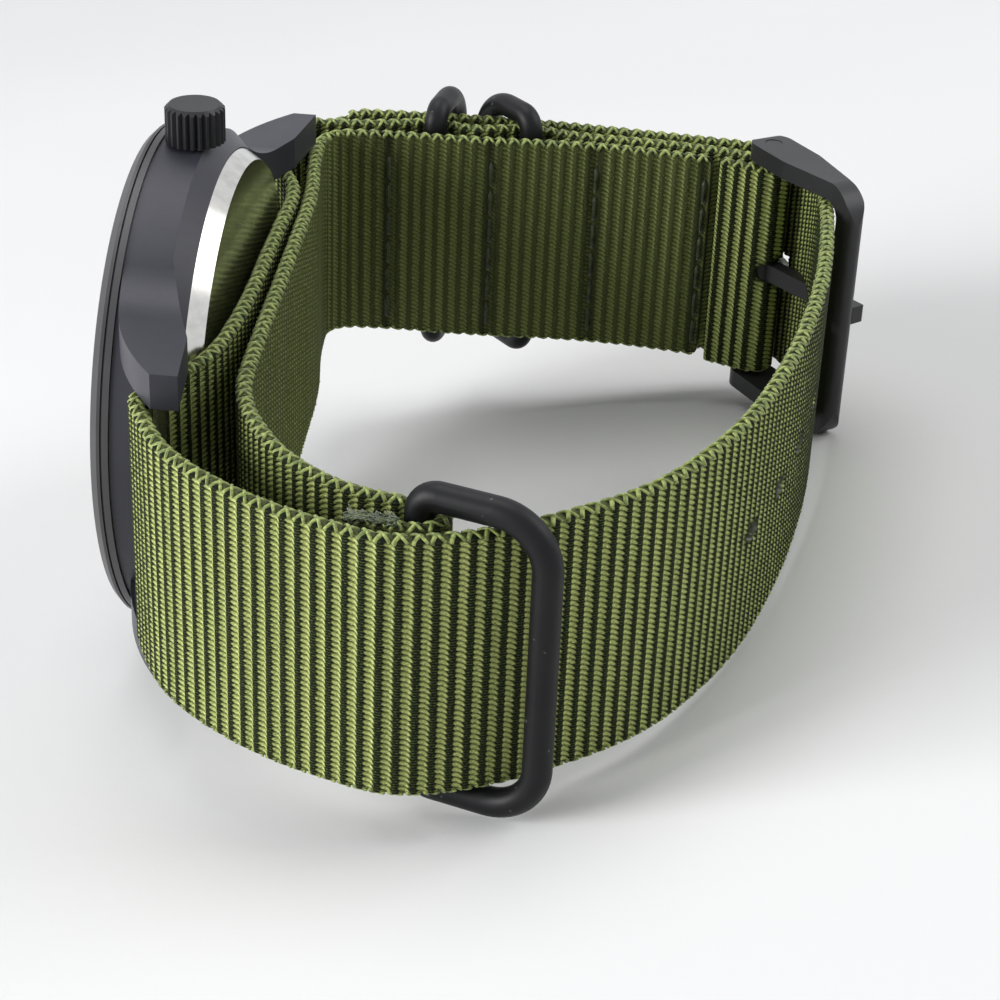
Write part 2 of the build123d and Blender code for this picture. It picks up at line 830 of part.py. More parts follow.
def fold_corners(before, bar, after, heading, reach):
    """Two corners of a fold round a bar on the left: ahead of it, on the tangents of both legs."""
    in_x, in_y = bar[0] - before[0], bar[1] - before[1]
    out_x, out_y = bar[0] - after[0], bar[1] - after[1]
    into = atan2(in_y, in_x) - asin(reach / hypot(in_x, in_y))
    back = atan2(out_y, out_x) + asin(reach / hypot(out_x, out_y))
    first = reach * tan(pi / 4 - (into - radians(heading)) / 2)
    second = reach * tan(pi / 4 + (back - radians(heading)) / 2)
    return step_from(bar, heading, reach, -first), step_from(bar, heading, reach, second)


def corner_radii(route, limits):
    """Largest radius that each corner's runs allow, no larger than a limit given for it."""
    rounding_share = 0.48
    radii = []
    for before, here, after in zip(route, route[1:], route[2:]):
        first = hypot(here[0] - before[0], here[1] - before[1])
        second = hypot(after[0] - here[0], after[1] - here[1])
        into = atan2(here[1] - before[1], here[0] - before[0])
        out = atan2(after[1] - here[1], after[0] - here[0])
        turn = abs((out - into + pi) % (2 * pi) - pi)
        radius = rounding_share * min(first, second) / tan(turn / 2)
        radii.append(min(radius, limits.get(here, radius)))
    return radii


def band(route, limits, half_width):
    """Woven band that stands on edge along a route."""
    with BuildSketch(Plane.XY) as face:
        with BuildLine():
            FilletPolyline(*route, radius=corner_radii(route, limits))
        trace(line_width=strap_thick)
    extrude(face.sketch, amount=half_width, both=True)


# Bars that the strap goes round: keepers in their pockets, end ring in its fold, buckle in its fold
keeper_1_share = (0.333, 0.862)
keeper_2_share = (0.491, 0.867)
end_ring_share = (0.486, -0.945)
heel_share = (0.886, 0.78)
keeper_1_turn = 82
keeper_2_turn = 130
end_ring_turn = -17.8
buckle_turn = -55.8
heel_turn = -20
fold_turn = -14
keeper_1_place = spot(keeper_1_share)
keeper_2_place = spot(keeper_2_share)
end_ring_place = spot(end_ring_share)
heel_place = spot(heel_share)

# Behind the case the strap runs clear of the crest of the case back
behind_x = back_face + back_clear + half_thick
behind_shares = ((0.15, 1.0), (0.3, 0.35), (0.95, -0.45), (0.15, -1.0))
behind_crest = back_r - back_bevel
behind = [(behind_x + x * behind_bow, y * behind_crest) for x, y in behind_shares]

# Main strap: fold at the buckle, far side, twelve o'clock bar, behind the case, six o'clock bar,
# near side, through the end ring and the buckle, then the tail along the far side
fold_end_share = (0.789, 0.792)
heel_out_share = (0.812, 0.852)
far_lap_share = (0.68, 0.872)
pocket_end_share = (0.57, 0.874)
pocket_middle_share = (0.39, 0.868)
pocket_start_share = (0.222, 0.855)
far_corner_shares = ((0.092, 0.84), (0.086, 0.735))
near_shares = (
    (0.152, -0.81),
    (0.294, -0.965),
    (0.462, -1.045),
    (0.545, -1.01),
    (0.62, -0.95),
    (0.757, -0.8),
    (0.862, -0.537),
    (0.927, -0.2),
    (0.962, 0.125),
    (0.9725, 0.375),
    (0.9725, 0.635),
    (0.936, 0.83),
)
tail_shares = (
    (0.875, 0.9),
    (0.732, 0.92),
    (0.6, 0.935),
    (0.491, 0.947),
    (0.314, 0.941),
    (0.22, 0.932),
    (0.143, 0.925),
)

heel_corners = fold_corners(spot(fold_end_share), heel_place, spot(heel_out_share), heel_turn, heel_wrap)
keeper_2_corner = around(spot(pocket_end_share), keeper_2_place, spot(pocket_middle_share), ring_wrap)
keeper_1_corner = around(spot(pocket_middle_share), keeper_1_place, spot(pocket_start_share), ring_wrap)
bar_12_corner = around(spot(far_corner_shares[1]), bars[0], behind[0], bar_wrap)
bar_6_corner = around(behind[-1], bars[1], spot(near_shares[0]), bar_wrap)
main_route = [
    spot(fold_end_share),
    *heel_corners,
    spot(heel_out_share),
    spot(far_lap_share),
    spot(pocket_end_share),
    keeper_2_corner,
    spot(pocket_middle_share),
    keeper_1_corner,
    spot(pocket_start_share),
    spot(far_corner_shares[0]),
    spot(far_corner_shares[1]),
    bar_12_corner,
    *behind,
    bar_6_corner,
    *[spot(share) for share in near_shares],
    *[spot(share) for share in tail_shares],
]
main_limits = {
    heel_corners[0]: heel_wrap,
    heel_corners[1]: heel_wrap,
    keeper_1_corner: ring_wrap,
    keeper_2_corner: ring_wrap,
    bar_12_corner: bar_wrap,
    bar_6_corner: bar_wrap,
}

# Frame of the buckle: places along it from the heel bar and out from its plane
buckle_plane = Plane(
    origin=(heel_place[0], heel_place[1], 0),
    x_dir=(cos(radians(buckle_turn)), sin(radians(buckle_turn)), 0),
    z_dir=(sin(radians(buckle_turn)), -cos(radians(buckle_turn)), 0),
)
tongue_rise = buckle_bar / 2 + tongue_depth / 2 + 3 * seat_gap
tongue_turn = buckle_turn + degrees(asin(tongue_rise / buckle_reach))
hole_share = 0.885
buckled_share = 0.807
tongue_hole = hole_share * (buckle_reach - buckle_bar)

with BuildPart() as main_strap:
    band(main_route, main_limits, strap_half)
    disc_cut = heel_wrap + strap_thick
    tunnel_half = tongue_width / 2 + tongue_play
    post_of(heel_place, disc_cut, -tunnel_half, tunnel_half, mode=Mode.SUBTRACT)
    tongue_cut = Plane(
        origin=(heel_place[0], heel_place[1], 0),
        x_dir=(0, 0, 1),
        z_dir=(cos(radians(tongue_turn)), sin(radians(tongue_turn)), 0),
    )
    with BuildSketch(tongue_cut.offset(tongue_hole / 3)):
        Rectangle(2 * tunnel_half, tongue_depth + 2 * tongue_play)
    extrude(amount=tongue_hole - tongue_over, mode=Mode.SUBTRACT)
    with BuildLine() as hole_line:
        FilletPolyline(*main_route, radius=corner_radii(main_route, main_limits))
    hole_wire = hole_line.wires()[0]
    for index in range(-holes_before, holes_after + 1):
        distance = hole_wire.length * buckled_share + index * hole_pitch
        here = hole_wire.position_at(distance, position_mode=PositionMode.LENGTH)
        ahead = hole_wire.tangent_at(distance, position_mode=PositionMode.LENGTH)
        with BuildSketch(Plane(origin=here, x_dir=ahead, z_dir=ahead.cross(Vector(0, 0, 1)))):
            SlotOverall(hole_length, hole_width)
        extrude(amount=strap_thick, both=True, mode=Mode.SUBTRACT)

# Short strap: fold on the end ring, behind the main strap to the far side, where both are sewn
fold_tail_share = (0.4125, -0.9725)
short_shares = (
    (0.39, -0.882),
    (0.29, -0.765),
    (0.216, -0.575),
    (0.207, -0.35),
    (0.199, -0.05),
    (0.19, 0.25),
    (0.184, 0.425),
    (0.16, 0.62),
    (0.155, 0.795),
    (0.25, 0.812),
    (0.43, 0.814),
    (0.553, 0.832),
    (0.68, 0.828),
    (0.775, 0.806),
)
ring_corners = fold_corners(spot(fold_tail_share), end_ring_place, spot(short_shares[0]), fold_turn, ring_wrap)
short_route = [
    spot(fold_tail_share),
    *ring_corners,
    *[spot(share) for share in short_shares],
]

short_limits = {
    ring_corners[0]: ring_wrap,
    ring_corners[1]: ring_wrap,
}

with BuildPart() as short_strap:
    band(short_route, short_limits, strap_half - lug_gap)


def wire_ring(place, turn, reach):
    """Closed ring of round wire: a straight bar on its pivot side and wide corners on the other."""
    plane = Plane(
        origin=(place[0], place[1], 0),
        x_dir=(cos(radians(turn)), sin(radians(turn)), 0),
        z_dir=(sin(radians(turn)), -cos(radians(turn)), 0),
    )
    with BuildLine(plane) as path:
        FilletPolyline(
            (0, -ring_half),
            (reach, -ring_half),
            (reach, ring_half),
            (0, ring_half),
            radius=(ring_inner_corner, ring_outer_corner, ring_outer_corner, ring_inner_corner),
            close=True,
        )
    start = path.wires()[0]
    with BuildSketch(Plane(origin=start @ 0, z_dir=start % 0)) as section:
        Circle(wire_r)
    sweep(section.sketch, path=start)


with BuildPart() as end_ring:
    wire_ring(end_ring_place, end_ring_turn, ring_reach)

with BuildPart() as keeper_ring_1:
    wire_ring(keeper_1_place, keeper_1_turn, keeper_reach)

with BuildPart() as keeper_ring_2:
    wire_ring(keeper_2_place, keeper_2_turn, keeper_reach)

# Buckle frame: a U of two arms and an end bar, tapered in side view, with the heel pin across it
side_plane = Plane(
    origin=(heel_place[0], heel_place[1], 0),
    x_dir=(cos(radians(buckle_turn)), sin(radians(buckle_turn)), 0),
    z_dir=(0, 0, 1),
)
buckle_length = buckle_heel + buckle_reach + buckle_bar / 2
window_half = buckle_half - buckle_arm
taper_share = 0.35

with BuildPart() as buckle_frame:
    with BuildSketch(buckle_plane) as face_outline:
        with Locations((-buckle_heel, 0)):
            Rectangle(buckle_length, 2 * buckle_half, align=(Align.MIN, Align.CENTER))
        fillet(face_outline.vertices().group_by(Axis.X)[-1], buckle_corner)
        fillet(face_outline.vertices().group_by(Axis.X)[0], buckle_arm / 2)
    extrude(amount=buckle_depth, both=True)
    with BuildSketch(buckle_plane) as window:
        with Locations((-buckle_heel - overrun, 0)):
            Rectangle(
                buckle_heel + overrun + buckle_reach - buckle_bar / 2,
                2 * window_half,
                align=(Align.MIN, Align.CENTER),
            )
        fillet(window.vertices().group_by(Axis.X)[-1], buckle_corner - buckle_arm)
    extrude(amount=buckle_depth, both=True, mode=Mode.SUBTRACT)
    with BuildSketch(side_plane) as side_outline:
        with BuildLine():
            Polyline(
                (-buckle_heel, -buckle_depth / 2),
                (taper_share * buckle_reach, -buckle_depth / 2),
                (buckle_reach - buckle_bar, -buckle_bar / 2),
                (buckle_reach + buckle_bar / 2, -buckle_bar / 2),
                (buckle_reach + buckle_bar / 2, buckle_bar / 2),
                (buckle_reach - buckle_bar, buckle_bar / 2),
                (taper_share * buckle_reach, buckle_depth / 2),
                (-buckle_heel, buckle_depth / 2),
                close=True,
            )
        make_face()
        fillet(side_outline.vertices().group_by(Axis.X)[0], buckle_depth / 2 - seat_gap)
        fillet(side_outline.vertices().group_by(Axis.X)[-1], buckle_bar / 2 - seat_gap)
    extrude(amount=buckle_half, both=True, mode=Mode.INTERSECT)
    post_of(heel_place, heel_bar_r + press_gap, -buckle_half, buckle_half, mode=Mode.SUBTRACT)

with BuildPart() as heel_bar:
    post_of(heel_place, heel_bar_r, seat_gap - buckle_half, buckle_half - seat_gap)

tongue_plane = Plane(
    origin=(heel_place[0], heel_place[1], 0),
    x_dir=(cos(radians(tongue_turn)), sin(radians(tongue_turn)), 0),
    z_dir=(0, 0, 1),
)
with BuildPart() as buckle_tongue:
    with BuildSketch(tongue_plane):
        Circle(heel_bar_r + run_gap + tongue_eye)
        Rectangle(
            buckle_reach + tongue_over,
            tongue_depth,
            align=(Align.MIN, Align.CENTER),
        )
        Circle(heel_bar_r + run_gap, mode=Mode.SUBTRACT)
    extrude(amount=tongue_width / 2, both=True)

# Every piece by its node name
pieces = {
    "mid_case": mid_case,
    "bezel": bezel,
    "crystal": crystal,
    "crystal_gasket": crystal_gasket,
    "case_back": case_back,
    "case_back_gasket": case_back_gasket,
    "chapter_ring": chapter_ring,
    "dial": dial,
    "hour_hand": hour_hand,
    "minute_hand": minute_hand,
    "seconds_hand": seconds_hand,
    "hour_wheel": hour_wheel,
    "minute_wheel": minute_wheel,
    "centre_wheel": centre_wheel,
    "third_wheel": third_wheel,
    "seconds_wheel": seconds_wheel,
    "step_wheel": step_wheel,
    "rotor": rotor,
    "main_plate": main_plate,
    "train_bridge": train_bridge,
    "bridge_screws": bridge_screws,
    "stator": stator,
    "coil": coil,
    "battery": battery,
    "battery_clamp": battery_clamp,
    "circuit_board": circuit_board,
    "quartz_can": quartz_can,
    "movement_holder": movement_holder,
    "crown_tube": crown_tube,
    "crown": crown,
    "crown_gasket": crown_gasket,
    "stem": stem,
    "clutch_wheel": clutch_wheel,
    "setting_lever": setting_lever,
    "spring_bar_12": spring_bar_12,
    "spring_bar_6": spring_bar_6,
    **tips,
    "main_strap": main_strap,
    "short_strap": short_strap,
    "end_ring": end_ring,
    "keeper_ring_1": keeper_ring_1,
    "keeper_ring_2": keeper_ring_2,
    "buckle_frame": buckle_frame,
    "heel_bar": heel_bar,
    "buckle_tongue": buckle_tongue,
}

# The three feet of the standing watch: rear edge of the flank, end ring and buckle
case_foot = Vector(flank_back, 0, -flank_r)
ring_foot = Vector(*step_from(end_ring_place, end_ring_turn, ring_reach / 2, 0), -ring_half - wire_r)
buckle_foot = Vector(*step_from(heel_place, buckle_turn, buckle_reach / 2, 0), -buckle_half)
upward = (ring_foot - case_foot).cross(buckle_foot - case_foot)
floor = Plane(origin=case_foot, x_dir=Vector(0, 1, 0).cross(upward), z_dir=upward)
level = floor.location.inverse()
box = Compound(children=[piece.part.moved(level) for piece in pieces.values()]).bounding_box()
base = Location((-box.center().X, -box.center().Y, -box.min.Z))

os.makedirs("parts", exist_ok=True)
for name, piece in pieces.items():
    placed = piece.part.moved(base * level)
    placed.label = name
    export_step(placed, f"parts/{name}.step")
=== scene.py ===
import json
import random
from math import asin, atan2, cos, degrees, hypot, pi, radians, sin, tan

import bmesh
import bpy
import numpy as np
from mathutils import Matrix, Vector


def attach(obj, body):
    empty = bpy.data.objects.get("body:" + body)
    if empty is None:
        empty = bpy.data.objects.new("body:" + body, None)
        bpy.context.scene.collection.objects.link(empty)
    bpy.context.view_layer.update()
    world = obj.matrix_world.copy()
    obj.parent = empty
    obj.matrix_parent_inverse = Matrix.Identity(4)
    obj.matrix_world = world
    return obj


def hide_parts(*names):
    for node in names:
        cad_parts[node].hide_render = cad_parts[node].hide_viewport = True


# Field watch on a pull-through nylon strap, in metres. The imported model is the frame.
# Shapes are worked out in the watch's own axes (X dial to case back, Y to twelve o'clock,
# Z to the crown, X = 0 at the front of the bezel) and then turned into the frame's.
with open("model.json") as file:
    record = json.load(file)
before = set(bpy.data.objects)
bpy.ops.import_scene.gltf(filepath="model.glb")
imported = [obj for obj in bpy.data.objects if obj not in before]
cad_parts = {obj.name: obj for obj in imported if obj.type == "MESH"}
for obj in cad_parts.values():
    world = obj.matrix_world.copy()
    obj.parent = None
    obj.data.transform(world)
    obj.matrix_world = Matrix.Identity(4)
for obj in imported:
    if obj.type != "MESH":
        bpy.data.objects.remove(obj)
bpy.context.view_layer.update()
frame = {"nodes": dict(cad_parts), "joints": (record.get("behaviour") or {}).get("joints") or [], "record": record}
nodes = frame["nodes"]
joints = {joint["name"]: joint for joint in frame["joints"]}
mounts = {mount["name"]: mount for mount in frame["record"]["mounts"]}
MM = 0.001
random.seed(7)

# Strap sizes
strap_width = 20.0 * MM
strap_thick = 1.25 * MM
short_trim = 0.2 * MM
loop_depth = 56.0 * MM
loop_half = 40.0 * MM
rib_pitch = 1.16 * MM
rib_depth = 0.27 * MM
rib_steps = 6
column_step = rib_pitch / rib_steps
warp_pitch = 0.42 * MM
fine_row = 0.2 * MM
wide_row = 0.55 * MM
edge_round = 0.34 * MM
edge_steps = 5
# Painted shade on the strap's rounded edges, so the gaps between the selvedge loops read dark
edge_shade = 0.85
tip_round = 4.0 * MM
short_round = 0.5 * MM
# Painted shade on the short strap's face towards the inside of the loop, where the stitches are
short_inside_shade = 0.6
ease_reach = 9
hole_length = 2.6 * MM
hole_width = 1.5 * MM
hole_pitch = 7.5 * MM
holes_before = 6
holes_after = 3
buckled_share = 0.807
slot_length = 5.2 * MM
slot_width = 2.6 * MM
slot_share = 0.0255
hole_shade = 0.55
hole_shade_reach = 0.6
rim_shade = 0.75

# Edge loops, stitching and frayed fibres
selvedge_r = 0.19 * MM
selvedge_reach = 0.52 * MM
selvedge_bulge = 0.32 * MM
selvedge_lean = 0.3
cross_loop_r = 0.12 * MM
cross_loop_lean = -0.45
loop_wander = 0.06
loop_points = 7
pinch_depth = 0.18 * MM
pinch_width = 0.8 * MM
# Painted shade in the pinched stitch lines
pinch_shade = 0.6
stitch_x = (14.6 * MM, 24.1 * MM, 33.8 * MM, 43.7 * MM)
stitch_length = 2.3 * MM
stitch_gap = 0.5 * MM
stitch_r = 0.2 * MM
stitch_low_margin = 1.2 * MM
stitch_high_margin = 1.0 * MM
stitch_seat = 0.165 * MM
stitch_dip = 0.35 * MM
stitch_lift = 0.05 * MM
fray_count = 420
fray_r = 0.055 * MM
fray_edge_reach = 3.0 * MM

# Bars that the strap goes round
press_gap = 0.02 * MM
bar_r = 0.75 * MM
heel_bar_r = 0.75 * MM
wire_r = 1.05 * MM
bar_y = 24.8 * MM
case_rear = 6.5 * MM
flank_r = 19.8 * MM
bore_r = 17.0 * MM
bezel_back = 1.5 * MM
flank_back = 5.1 * MM
wall_gap = 0.02 * MM
wall_span = radians(100)
wall_steps = 48
back_face = 7.8 * MM
back_clear = 0.45 * MM
behind_bow = 0.7 * MM
behind_crest = 17.4 * MM
crystal_proud = 0.15 * MM
dial_front = 2.4 * MM

# Dial print and hands
print_proud = 0.02 * MM
numeral_height = 3.0 * MM
numeral_reach = 10.9 * MM
small_height = 1.5 * MM
small_reach = 7.9 * MM
track_inner = 14.9 * MM
track_outer = 15.5 * MM
tick_fine = 0.05 * MM
tick_wide = 0.14 * MM
hour_hand_length = 9.2 * MM
hour_hand_half = 1.5 * MM
minute_hand_length = 13.6 * MM
minute_hand_half = 1.2 * MM
hand_thick = 0.14 * MM
hand_spacing = 0.32 * MM
shown_hour = 10
shown_minute = 9
shown_second = 36

# Camera, in the watch's axes, fitted to the strap's edges in the photograph
camera_place = (43.976 * MM, -169.914 * MM, 84.5 * MM)
camera_right = (0.9934, 0.1081, 0.0382)
camera_up = (-0.0855, 0.4772, 0.8747)
camera_focus_px = 2342
picture_px = 1000
sensor_mm = 36.0
camera_near = 0.01

# Floor and light
floor_half = 8.0
fade_start = 0.3
fade_end = 1.1
room_light = 0.24
room_seen = 0.92
room_colour = (0.95, 0.96, 1.0, 1)
lamp_aim = (0, 0, 0.02)
lamps = {
    "key": ((-0.7, -0.38, 0.36), 0.5, 8.3),
    "top": ((0.0, 0.15, 0.85), 0.6, 2.8),
    "side": ((0.68, 0.12, 0.44), 0.5, 2.6),
}


def watch_axes():
    """Matrix from the watch's own axes to the frame's, read from the joints and the crystal's mount."""
    back = Vector(joints["seconds_turn"]["axis"]).normalized()
    crown = Vector(joints["crown_turn"]["axis"]).normalized()
    twelve = crown.cross(back)
    turn = Matrix((back, twelve, crown)).transposed().to_4x4()
    glass = Vector(mounts["crystal_face"]["pos_m"])
    return Matrix.Translation(glass + back * crystal_proud) @ turn


watch = watch_axes()


# Meshes and materials


def make_mesh(name, points, faces, body="watch", smooth=True):
    """Mesh object in the frame's axes from points in the watch's, riding on a body."""
    turn = np.array(watch)
    placed = np.asarray(points) @ turn[:3, :3].T + turn[:3, 3]
    mesh = bpy.data.meshes.new(name)
    mesh.from_pydata(placed.tolist(), [], [list(face) for face in faces])
    mesh.polygons.foreach_set("use_smooth", [smooth] * len(mesh.polygons))
    piece = bpy.data.objects.new(name, mesh)
    bpy.context.scene.collection.objects.link(piece)
    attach(piece, body)
    return piece


class Shader:
    """Small helper that builds one material's node tree."""

    def __init__(self, name):
        self.material = bpy.data.materials.new(name)
        self.material.use_nodes = True
        self.tree = self.material.node_tree
        self.surface = self.tree.nodes["Principled BSDF"]

    def node(self, kind, **settings):
        made = self.tree.nodes.new(kind)
        for key, value in settings.items():
            setattr(made, key, value)
        return made

    def link(self, source, target):
        self.tree.links.new(source, target)

    def feed(self, socket, value):
        """Puts a number, a colour or another node's output into a socket."""
        if hasattr(value, "is_output"):
            self.link(value, socket)
        elif hasattr(value, "__len__") and len(value) == 3 and socket.type == "RGBA":
            socket.default_value = (*value, 1)
        else:
            socket.default_value = value

    def math(self, kind, first, second=None, third=None, clamp=False):
        made = self.node("ShaderNodeMath", operation=kind, use_clamp=clamp)
        for socket, value in zip(made.inputs, (first, second, third)):
            if value is not None:
                self.feed(socket, value)
        return made.outputs[0]

    def ramp(self, value, low, high):
        """Smooth step from 0 at low to 1 at high."""
        made = self.node("ShaderNodeMapRange", interpolation_type="SMOOTHSTEP")
        self.feed(made.inputs["Value"], value)
        self.feed(made.inputs["From Min"], low)
        self.feed(made.inputs["From Max"], high)
        return made.outputs["Result"]

    def mix(self, share, first, second):
        made = self.node("ShaderNodeMix", data_type="RGBA")
        self.feed(made.inputs["Factor"], share)
        self.feed(made.inputs["A"], first)
        self.feed(made.inputs["B"], second)
        return made.outputs["Result"]

    def noise(self, scale, detail=2.0, vector=None, roughness=0.5):
        made = self.node("ShaderNodeTexNoise")
        self.feed(made.inputs["Scale"], scale)
        self.feed(made.inputs["Detail"], detail)
        self.feed(made.inputs["Roughness"], roughness)
        if vector is None:
            vector = self.node("ShaderNodeTexCoord").outputs["Object"]
        self.link(vector, made.inputs["Vector"])
        return made.outputs["Fac"]

    def bump(self, height, distance, strength=1.0):
        made = self.node("ShaderNodeBump")
        self.feed(made.inputs["Height"], height)
        self.feed(made.inputs["Distance"], distance)
        self.feed(made.inputs["Strength"], strength)
        self.link(made.outputs["Normal"], self.surface.inputs["Normal"])

    def set(self, **values):
        """Sets the surface's own sockets, named with underscores."""
        for key, value in values.items():
            self.feed(self.surface.inputs[key.replace("_", " ")], value)


def clothe(node, material):
    """Gives a CAD node one material."""
    slots = nodes[node].data.materials
    slots.clear()
    slots.append(material)


# Materials


def weave_material():
    """Ribbed nylon: bright warp loops over each rib, some strands painted with sheen, and gaps between painted
    dark as shade, with fine cross threads. A third weave channel darkens the colour: painted shade on the edges
    and stitch lines, melted rims at the holes.
    """
    wander, slope, loop_jitter = 0.16, 1.3, 0.5
    s = Shader("ribbed_nylon")
    weave = s.node("ShaderNodeAttribute", attribute_name="weave")
    parts = s.node("ShaderNodeSeparateXYZ")
    s.link(weave.outputs["Vector"], parts.inputs[0])
    along, across, shade_and_melt = parts.outputs
    wobble = s.noise(0.7, 3.0, weave.outputs["Vector"])
    fine = s.noise(7.0, 2.0, weave.outputs["Vector"])
    rib = s.math("FRACT", s.math("MULTIPLY_ADD", s.math("SUBTRACT", wobble, 0.5), wander, along))
    off = s.math("SUBTRACT", rib, 0.5)
    away = s.math("MULTIPLY", s.math("ABSOLUTE", off), 2.0)
    slant = s.math("MULTIPLY_ADD", off, slope, across)
    jitter = s.math("MULTIPLY_ADD", s.math("SUBTRACT", fine, 0.5), loop_jitter, slant)
    loop = s.math("ABSOLUTE", s.math("SINE", s.math("MULTIPLY", jitter, pi)))
    loop_round = s.math("POWER", loop, 0.7)
    reach = s.math("MULTIPLY_ADD", loop_round, 0.36, 0.22)
    ridge = s.ramp(s.math("SUBTRACT", reach, away), -0.14, 0.12)
    sharp = s.math("MULTIPLY", ridge, s.math("MULTIPLY_ADD", loop_round, 0.82, 0.18))
    # Painted shade: where this attribute is set, the ridges are pulled towards the gaps' colour, darker and
    # flatter
    inside_shade = s.node("ShaderNodeAttribute", attribute_name="inside_shade").outputs["Fac"]
    lit = s.math("MULTIPLY_ADD", inside_shade, s.math("SUBTRACT", 0.2, sharp), sharp)
    wave = s.math("SINE", s.math("MULTIPLY", across, 2 * pi))
    threads = s.math("POWER", s.math("ABSOLUTE", wave), 3.0)
    flecks = s.math("MULTIPLY", threads, s.ramp(fine, 0.4, 0.7))
    # Painted shade: the gaps between the ribs are near black, with the cross threads flecked over them
    gap = s.mix(flecks, gap_painted_shade, gap_thread)
    rib_place = s.node("ShaderNodeCombineXYZ")
    s.link(along, rib_place.inputs["X"])
    bands = s.noise(0.55, 2.0, rib_place.outputs[0])
    tone = s.mix(s.ramp(bands, 0.32, 0.68), rib_low, rib_high)
    # Painted highlight: noise lightens strands of each rib towards a sheen colour
    strands = s.mix(s.ramp(fine, 0.42, 0.72), tone, rib_painted_sheen)
    colour = s.mix(lit, gap, strands)
    # The third weave channel darkens the colour: painted shade on the edges and stitch lines, melted rims at the
    # holes
    darker = s.mix(shade_and_melt, colour, shade_and_melt_dark)
    s.set(Base_Color=darker, Roughness=s.math("MULTIPLY_ADD", lit, -0.25, 0.75))
    s.set(Specular_IOR_Level=0.12, Sheen_Weight=0.03, Sheen_Roughness=0.4)
    s.set(Sheen_Tint=(0.75, 0.85, 0.4))
    low_threads = s.math("MULTIPLY", threads, 0.2)
    height = s.math("MULTIPLY_ADD", loop_round, s.math("MULTIPLY", ridge, 0.8), low_threads)
    s.bump(height, 0.16 * MM, 1.0)
    return s.material


def yarn_material(name, low, high, roughness=0.5):
    """Twisted nylon yarn, with fine strands along it."""
    s = Shader(name)
    strands = s.noise(2600.0, 3.0)
    s.set(Base_Color=s.mix(s.ramp(strands, 0.3, 0.7), low, high), Roughness=roughness)
    s.set(Sheen_Weight=0.3, Sheen_Roughness=0.4, Specular_IOR_Level=0.5)
    s.bump(strands, 0.06 * MM, 0.7)
    return s.material


def coated_material(name, colour, worn, roughness, grain, specks=0.0, specular=0.4):
    """Matte coating on steel: fine grain, soft wear and a few specks."""
    s = Shader(name)
    grains = s.noise(grain, 4.0, roughness=0.65)
    cloud = s.noise(120.0, 3.0)
    base = s.mix(s.ramp(cloud, 0.35, 0.75), colour, worn)
    dots = s.math("MULTIPLY", s.ramp(s.noise(1500.0, 1.0), 0.74, 0.78), specks)
    s.set(Base_Color=s.mix(dots, base, (0.3, 0.3, 0.3)), Metallic=0.1, Specular_IOR_Level=specular)
    s.set(Roughness=s.math("MULTIPLY_ADD", grains, 0.16, roughness - 0.08))
    s.bump(grains, 0.02 * MM, 0.5)
    return s.material


def metal_material(name, colour, roughness, scratch=0.06, anisotropic=0.0, stretch=(1, 1, 1)):
    """Bare metal with fine scratches, or with brush lines where they are stretched."""
    s = Shader(name)
    coords = s.node("ShaderNodeTexCoord").outputs["Object"]
    mapping = s.node("ShaderNodeMapping")
    s.link(coords, mapping.inputs["Vector"])
    mapping.inputs["Scale"].default_value = stretch
    lines = s.noise(900.0, 4.0, mapping.outputs[0])
    dull = s.mix(s.ramp(lines, 0.3, 0.8), colour, tuple(c * 0.8 for c in colour))
    s.set(Base_Color=dull, Metallic=1.0, Anisotropic=anisotropic)
    s.set(Roughness=s.math("MULTIPLY_ADD", lines, scratch, roughness))
    return s.material


def plain_material(name, colour, roughness, grain=900.0, depth=0.01 * MM):
    """Moulded plastic, rubber or paint with a faint grain."""
    s = Shader(name)
    grains = s.noise(grain, 3.0)
    lighter = tuple(min(1, c * 1.2 + 0.001) for c in colour)
    s.set(Base_Color=s.mix(s.ramp(grains, 0.3, 0.8), colour, lighter), Roughness=roughness)
    s.bump(grains, depth, 0.4)
    return s.material


def glass_material():
    """Clear flat crystal, a little blue at its edge, with a very faint haze."""
    s = Shader("crystal_glass")
    s.set(Base_Color=(0.97, 0.985, 1.0), IOR=1.5, Transmission_Weight=1.0)
    haze = s.noise(300.0, 2.0)
    s.set(Roughness=s.math("MULTIPLY", haze, 0.03))
    return s.material


rib_low = (0.32, 0.39, 0.092)
rib_high = (0.5, 0.57, 0.16)
# Painted sheen on the ribs' strands
rib_painted_sheen = (0.8, 0.86, 0.4)
# Painted shade in the gaps between the ribs
gap_painted_shade = (0.002, 0.0035, 0.001)
gap_thread = (0.11, 0.145, 0.04)
# Colour that the darkening channel mixes towards: painted shade on edges and stitch lines, melted rims at holes
shade_and_melt_dark = (0.006, 0.009, 0.004)
nylon = weave_material()
selvedge_yarn = yarn_material("selvedge_yarn", (0.1, 0.14, 0.028), (0.38, 0.46, 0.12))
frayed_yarn = yarn_material("frayed_yarn", (0.01, 0.016, 0.004), (0.16, 0.21, 0.09))
melted_edge = plain_material("melted_edge", (0.025, 0.035, 0.012), 0.4, 1800.0, 0.08 * MM)
stitch_thread = yarn_material("stitch_thread", (0.008, 0.014, 0.005), (0.05, 0.07, 0.02))
lume_paint = plain_material("lume_paint", (0.72, 0.78, 0.62), 0.6, 2500.0)
case_coat = coated_material("case_coat", (0.026, 0.026, 0.036), (0.037, 0.037, 0.048), 0.42, 5200.0)
bezel_coat = coated_material("bezel_coat", (0.05, 0.048, 0.05), (0.068, 0.065, 0.068), 0.4, 5200.0)
crown_coat = coated_material("crown_coat", (0.006, 0.006, 0.008), (0.012, 0.012, 0.015), 0.42, 4200.0)
